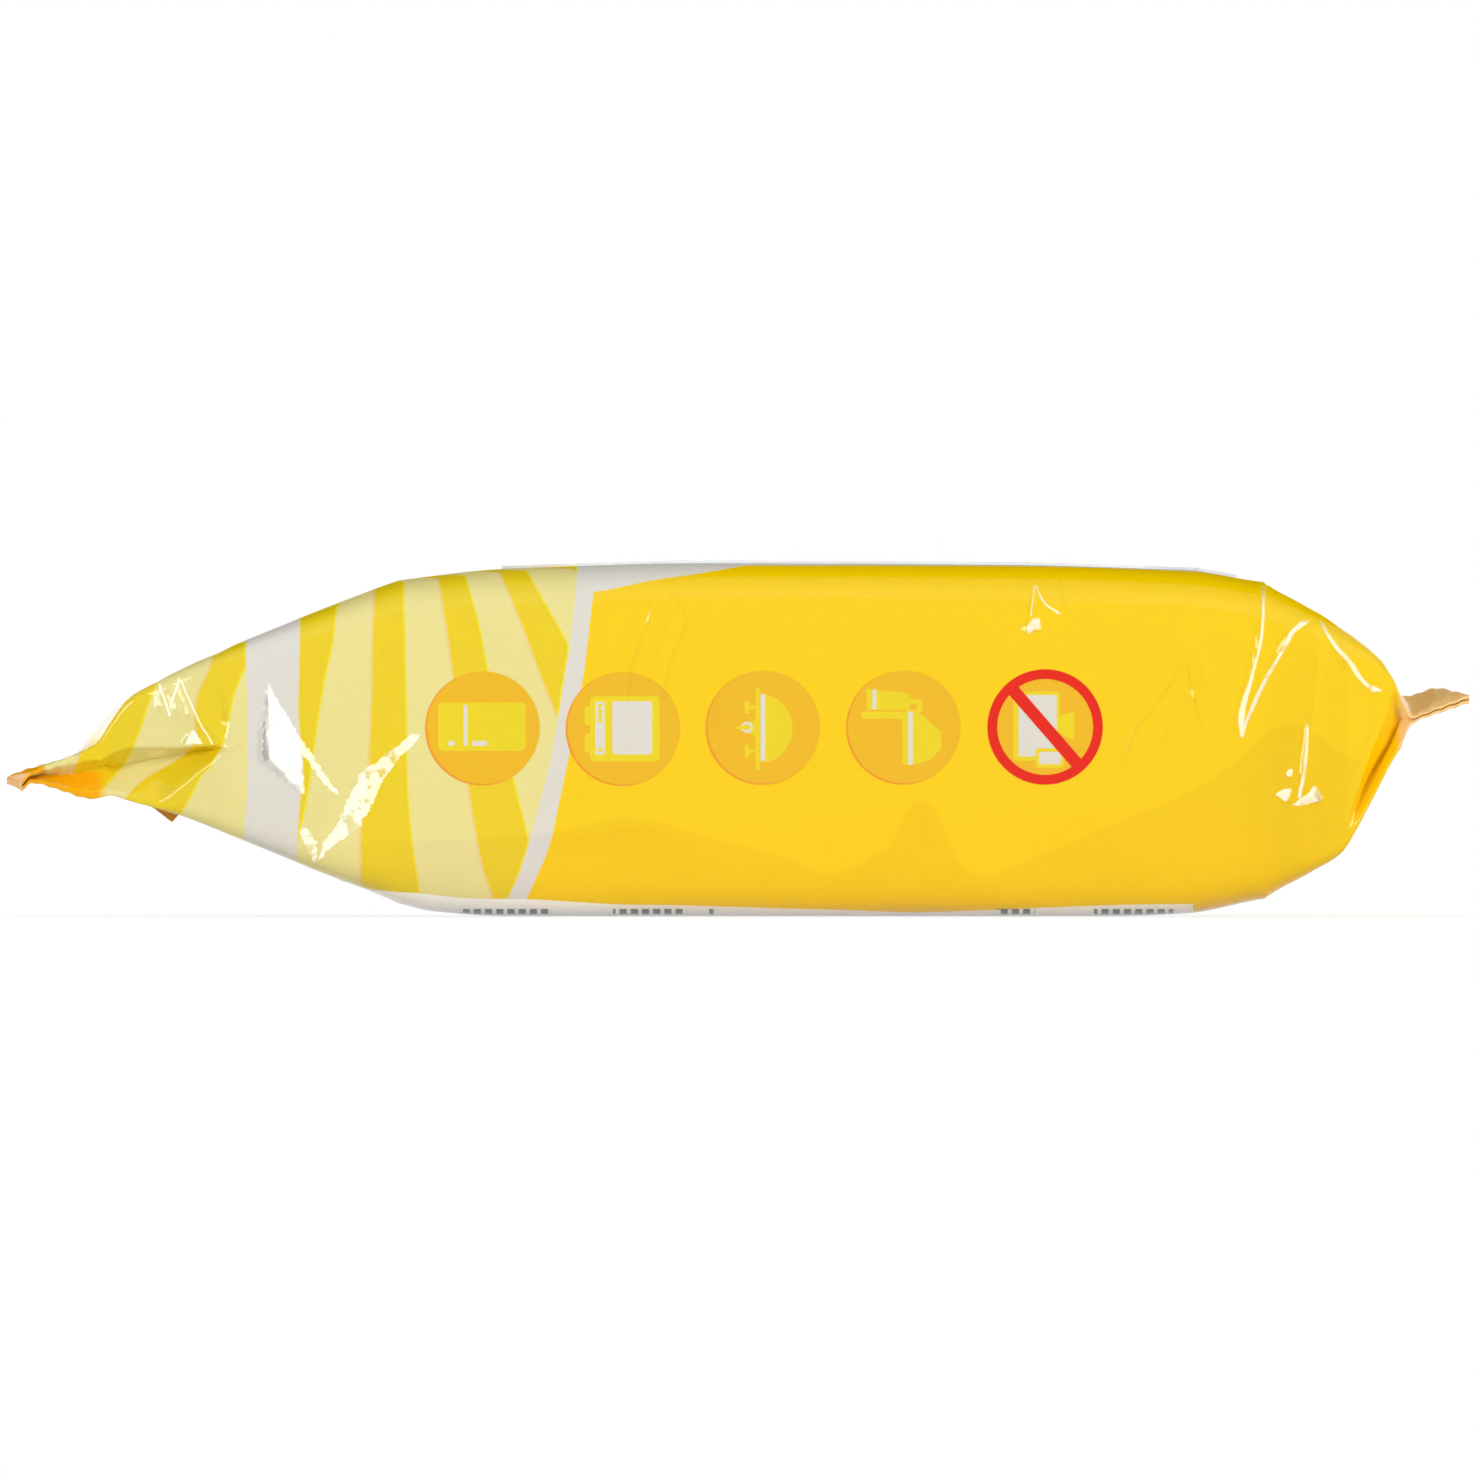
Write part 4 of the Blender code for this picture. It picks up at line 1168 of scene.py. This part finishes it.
def print_underside(board, film, signs):
    """The underside's white panel, with plain grey bars on it."""
    under = board.minus(1.0, past(board, film.up, border(board, film.across, PANEL_TOP)))
    x, _ = signs.at(PANEL_MIDDLE, 0)
    panel = board.times(under, past(board, PANEL_REACH, board.math("ABSOLUTE", x)))
    signs.paint(PANEL, panel)
    for left, right in GREY_BARS:
        signs.panel(GREY, left, right, BAR_LOW, BAR_HIGH)
    dash = board.math("FRACT", board.times(x, 1 / DASH_STEP))
    signs.paint(PANEL, board.times(panel, board.less(dash, DASH_GAP_SHARE)))


def print_signs(board, film, signs):
    """The round signs, which are only on the front."""
    plain = signs.colour
    for x, z, draw in SIGNS:
        signs.middle = (x, z)
        signs.disc(SIGN_RIM, *SIGN_RIM_AT, SIGN_RADIUS)
        signs.disc(SIGN, *SIGN_AT, SIGN_RADIUS - SIGN_RIM_WIDTH)
        draw(signs)
    return board.mix(film.is_front, plain, signs.colour)


def paint_low_reflection(board, film, colour):
    """Painted reflection: below a wavy border the front is painted a little duller, standing in for the
    darker floor that it mirrors.
    """
    gap = board.minus(film.up, border(board, film.across, LOW_REFLECTION_TOP))
    low_reflection = board.times(board.ramp(gap, *LOW_REFLECTION_EDGE), board.ramp(film.across, *LOW_REFLECTION_LEFT),
                        board.ramp(film.across, *LOW_REFLECTION_RIGHT), film.is_front)
    return board.mix(low_reflection, colour, LOW_REFLECTION_TONE, "MULTIPLY")


def print_seals(board, film, colour):
    """The seals' inks, the right seal's cream with its painted sheen, the painted shade that tints the right
    tuck orange, and the mask of both seals.
    """
    left_seal = board.ramp(film.zone, *LEFT_SEAL_INK)
    right_seal = board.ramp(film.zone, *RIGHT_SEAL_INK)
    no_tuck = board.math("SUBTRACT", 1.0, film.tuck, clamp=True)
    outside = board.larger(no_tuck, board.ramp(film.tuck, *LOWER_WALL))
    inked = board.larger(board.less(film.up, LOWER_LIP_TOP), board.ramp(film.zone, *LEFT_LIP_INK))
    right_tuck_shade = board.times(board.ramp(film.zone, *RIGHT_TUCK_SHADE), board.ramp(film.tuck, *ANY_WALL))
    # Painted shade: the right tuck's walls take a deeper orange
    colour = board.mix(right_tuck_shade, colour, TUCK_SHADE_ORANGE)
    colour = board.mix(board.times(left_seal, outside, inked), colour, SEAL_ORANGE)
    # The right seal's cream holds a painted sheen of its lit crimps
    return board.mix(right_seal, colour, RIGHT_SEAL_CREAM_SHEEN), board.larger(left_seal, right_seal)


def film_print(board, film):
    """The print's colour all over the film, and the mask of its seals."""
    signs = Signs(board, film.across, film.up, striped_print(board, film))
    print_underside(board, film, signs)
    colour = print_signs(board, film, signs)
    colour, seal = print_seals(board, film, paint_low_reflection(board, film, colour))
    tone = board.ramp(board.noise(film.position, GRAIN_SCALE, 3.0), *GRAIN_TONES)
    shade = board.node("ShaderNodeCombineColor", {0: tone, 1: tone, 2: tone}).outputs[0]
    return board.mix(1.0, colour, shade, "MULTIPLY"), seal


# The film's fine wrinkles: scales of the noises, heights in metres, and the zones where the ends have more
SLOW_SCALE, WRINKLE_SCALE = 38.0, 120.0
WRINKLE_STRETCH = (1.0, 2.4, 2.4)
SLOW_HEIGHT, FINE_FOLD_HEIGHT = 0.0004, 0.00013
WRINKLE_HEIGHT, MORE_AT_ENDS = 0.00006, 0.00008
LEFT_END, RIGHT_END = (1.6, 1.2), (3.3, 3.8)
# A fine fold's width on each side and the length over which its ends fade, in millimetres
FINE_FOLD_WIDTH, FINE_FOLD_FADE = 0.45, 3


def film_wrinkles(board, film):
    """Height of the film's fine wrinkles, for a bump."""
    slow = board.noise(film.position, SLOW_SCALE, 1.0, 0.5, 0.8)
    mapping = {"Vector": film.position, "Scale": WRINKLE_STRETCH}
    fine = board.noise(board.node("ShaderNodeMapping", mapping).outputs[0], WRINKLE_SCALE, 1.0, 0.5, 1.0)
    ends = board.larger(board.ramp(film.zone, *LEFT_END), board.ramp(film.zone, *RIGHT_END))
    creases = board.math("ABSOLUTE", board.minus(fine, 0.5))
    height = board.times(creases, board.linear(ends, MORE_AT_ENDS, WRINKLE_HEIGHT))
    for line in FINE_FOLDS:
        low, high = line[0][0], line[-1][0]
        away = board.math("ABSOLUTE", board.minus(film.across, upright_border(board, film.up, line)))
        fold = board.times(board.ramp(away, FINE_FOLD_WIDTH, 0.0),
                           board.ramp(film.up, low, low + FINE_FOLD_FADE),
                           board.ramp(film.up, high, high - FINE_FOLD_FADE))
        height = board.linear(fold, FINE_FOLD_HEIGHT, height)
    return board.linear(slow, SLOW_HEIGHT, height)


# The leaning bands' borders, in millimetres: how far they go ragged all over and on the rough stretch,
# and how their ends fade
RAGGED_SCALE, RAGGED_REACH = 900.0, 1.1
RAGGED_SHARE, ROUGH_SHARE = 0.12, 0.88
ROUGH_LEFT, ROUGH_RIGHT = (-82, -79), (-50, -54)
END_OUTSIDE, END_INSIDE = 0.2, 0.1
# The patches inside a band, and the painted glare that whitens its colour there, with its share
PATCH_SCALE, PATCH_EDGE = 420.0, (0.36, 0.46)
GLARE, GLARE_SHARE = (1.0, 1.0, 0.9, 1.0), 0.5


def band_mask(board, across_mm, up, rows):
    """1 inside a band of rows of z, left x and right x."""
    low, high = rows[0][0], rows[-1][0]
    left, right = (past(board, across_mm, upright_border(board, up, [(row[0], row[side]) for row in rows]))
                   for side in (1, 2))
    return board.times(board.math("SUBTRACT", left, right, clamp=True),
                       board.ramp(up, low - END_OUTSIDE, low + END_INSIDE),
                       board.ramp(up, high + END_OUTSIDE, high - END_INSIDE))


def lean_film(board, film, normal, colour):
    """The film's normal where its bands lean over, with ragged borders, and its colour with a painted glare
    whitened into those bands.
    """
    noise = board.noise(film.position, RAGGED_SCALE, 3.0, 0.6)
    ragged = board.linear(noise, 2 * RAGGED_REACH, -RAGGED_REACH)
    rough = board.times(board.ramp(film.across, *ROUGH_LEFT), board.ramp(film.across, *ROUGH_RIGHT))
    wild = board.linear(ragged, board.linear(rough, ROUGH_SHARE, RAGGED_SHARE), film.across)
    patchy = board.noise(film.position, PATCH_SCALE, 2.0, 0.6)
    for bands, facing, lowest in LEANING_BANDS:
        mask = 0.0
        for rows in bands:
            mask = board.larger(mask, band_mask(board, wild, film.up, rows))
        share = board.times(mask, film.is_front, board.ramp(patchy, *PATCH_EDGE, lowest, 1.0))
        lean = board.node("ShaderNodeVectorTransform", {"Vector": facing}, vector_type="NORMAL",
                          convert_from="OBJECT", convert_to="WORLD").outputs[0]
        mixed = board.node("ShaderNodeMix", {0: share, 4: normal, 5: lean}, data_type="VECTOR")
        normal = mixed.outputs[1]
        # Painted highlight: the glare colour is whitened into the base colour inside the bands
        colour = board.mix(board.times(share, GLARE_SHARE), colour, GLARE)
    return board.node("ShaderNodeVectorMath", {0: normal}, operation="NORMALIZE").outputs[0], colour


# The finish of the film, of its seals and of the label; the film's gloss fades as it faces up
FILM_ROUGHNESS, SEAL_MORE_ROUGH = 0.07, 0.3
FILM_GLOSS, SEAL_GLOSS, GLOSS_FADE = 0.28, 0.16, (0.84, 0.5)
LABEL_ROUGHNESS, LABEL_GLOSS = 0.25, 0.15
LABEL_TONES = (rgb(238, 241, 244), rgb(243, 245, 246))
LABEL_CLOUDS, LABEL_CLOUD_EDGE = 60.0, (0.35, 0.65)
LABEL_RIPPLES, LABEL_RIPPLE_HEIGHT = 120.0, 0.00005


def film_material():
    material, board, shader = new_material("glossy printed film")
    film = FilmPlace(board)
    colour, seal = film_print(board, film)
    bump = board.node("ShaderNodeBump", {"Height": film_wrinkles(board, film), "Distance": 1.0})
    normal, colour = lean_film(board, film, bump.outputs[0], colour)
    gloss = board.ramp(seal, 0.0, 1.0, FILM_GLOSS, SEAL_GLOSS)
    board.feed(shader.inputs["Base Color"], colour)
    board.feed(shader.inputs["Normal"], normal)
    board.feed(shader.inputs["Roughness"], board.linear(seal, SEAL_MORE_ROUGH, FILM_ROUGHNESS))
    board.feed(shader.inputs["Specular IOR Level"], board.times(gloss, board.ramp(film.upward, *GLOSS_FADE)))
    return material


def label_material():
    material, board, shader = new_material("pale label film")
    position = board.position()
    clouds = board.ramp(board.noise(position, LABEL_CLOUDS), *LABEL_CLOUD_EDGE)
    height = board.times(board.noise(position, LABEL_RIPPLES, 3.0), LABEL_RIPPLE_HEIGHT)
    bump = board.node("ShaderNodeBump", {"Height": height, "Distance": 1.0, "Strength": 1.0})
    board.feed(shader.inputs["Base Color"], board.mix(clouds, *LABEL_TONES))
    board.feed(shader.inputs["Normal"], bump.outputs[0])
    board.feed(shader.inputs["Roughness"], LABEL_ROUGHNESS)
    board.feed(shader.inputs["Specular IOR Level"], LABEL_GLOSS)
    return material


# The studio: the camera's lens and sensor in millimetres, and what it sees in metres
CAMERA_LENS = 1200.0
SENSOR = 36.0
VIEW_WIDTH = 0.2514
VIEW_CENTRE = 0.0304
CAMERA_REACH = 200

# The soft lamps: azimuth, elevation, distance, size and power. Azimuth 0 is in front and 90 at the right.
LAMPS = {
    "left softbox": (-42, 14, 1.5, (0.38, 0.74), 9.7),
    "right softbox": (52, 9, 1.5, (0.53, 0.6), 10.9),
    "top softbox": (10, 78, 1.6, (2.0, 2.0), 9),
    "rear panel": (180, 28, 1.6, (2.2, 1.4), 7),
}
LAMP_AIM = Vector((0, 0, 0.03))

# Light from all round, and the floor: it is white far from the pack and takes its shadow near it
ROOM_LIGHT = 0.14
PLAIN_WHITE = (1, 1, 1, 1)
FLOOR_GREY = (0.9, 0.9, 0.9, 1)
FLOOR_RADIUS = 16
FLOOR_LEVEL = -0.0002
FLOOR_NEAR, FLOOR_FAR = 0.15, 0.45
NEAR_GLOW, NEAR_GLOW_SHARE = 1.14, 0.75


def make_camera():
    camera = bpy.data.cameras.new("camera")
    camera.lens = CAMERA_LENS
    camera.sensor_width = SENSOR
    camera.clip_end = CAMERA_REACH
    holder = bpy.data.objects.new("camera", camera)
    bpy.context.scene.collection.objects.link(holder)
    away = VIEW_WIDTH * CAMERA_LENS / SENSOR
    holder.location = (0, -away, VIEW_CENTRE)
    holder.rotation_euler = (math.radians(90), 0, 0)
    bpy.context.scene.camera = holder


def add_lamp(name, azimuth, elevation, distance, size, power):
    lamp = bpy.data.lights.new(name, "AREA")
    lamp.shape = "RECTANGLE"
    lamp.size, lamp.size_y = size
    lamp.energy = power
    holder = bpy.data.objects.new(name, lamp)
    bpy.context.scene.collection.objects.link(holder)
    a, e = math.radians(azimuth), math.radians(elevation)
    back = Vector((math.sin(a) * math.cos(e), -math.cos(a) * math.cos(e), math.sin(e)))
    holder.location = LAMP_AIM + back * distance
    holder.rotation_euler = (-back).to_track_quat("-Z", "Y").to_euler()


def backdrop_factor(board):
    """1 for the rays that should see the plain white background."""
    path = board.node("ShaderNodeLightPath").outputs
    seen = board.larger(path["Is Camera Ray"], path["Is Glossy Ray"])
    return board.larger(seen, path["Is Transmission Ray"])


def make_world():
    world = bpy.data.worlds.new("studio")
    bpy.context.scene.world = world
    world.use_nodes = True
    board = Board(world.node_tree)
    shader = world.node_tree.nodes["Background"]
    board.feed(shader.inputs["Color"], PLAIN_WHITE)
    board.feed(shader.inputs["Strength"], board.ramp(backdrop_factor(board), 0.0, 1.0, ROOM_LIGHT, 1.0))


def make_floor():
    deselect_all()
    bpy.ops.mesh.primitive_circle_add(vertices=64, radius=FLOOR_RADIUS, fill_type="NGON",
                                      location=(0, 0, FLOOR_LEVEL))
    floor = bpy.context.object
    floor.name = "floor"
    material, board, shader = new_material("pale floor")
    board.tree.nodes.remove(shader)
    plain = board.node("ShaderNodeBsdfDiffuse", {"Color": FLOOR_GREY})
    away = board.node("ShaderNodeVectorMath", {0: board.position()}, operation="LENGTH").outputs["Value"]
    glow = board.ramp(away, FLOOR_NEAR, FLOOR_FAR, NEAR_GLOW, 1.0)
    white = board.node("ShaderNodeEmission", {"Color": PLAIN_WHITE, "Strength": glow})
    share = board.times(backdrop_factor(board), board.ramp(away, FLOOR_NEAR, FLOOR_FAR, NEAR_GLOW_SHARE, 1.0))
    mixed = board.node("ShaderNodeMixShader", {0: share, 1: plain.outputs[0], 2: white.outputs[0]})
    board.feed(board.tree.nodes["Material Output"].inputs["Surface"], mixed.outputs[0])
    floor.data.materials.append(material)


def make_studio():
    bpy.context.scene.view_settings.view_transform = "Standard"
    make_camera()
    make_world()
    make_floor()
    for name, values in LAMPS.items():
        add_lamp(name, *values)


film = make_film()
film.data.materials.append(film_material())
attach(film, "root")
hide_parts("film_pack")
label = make_label()
label.data.materials.append(label_material())
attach(label, "root")
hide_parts("reseal_label")
make_studio()
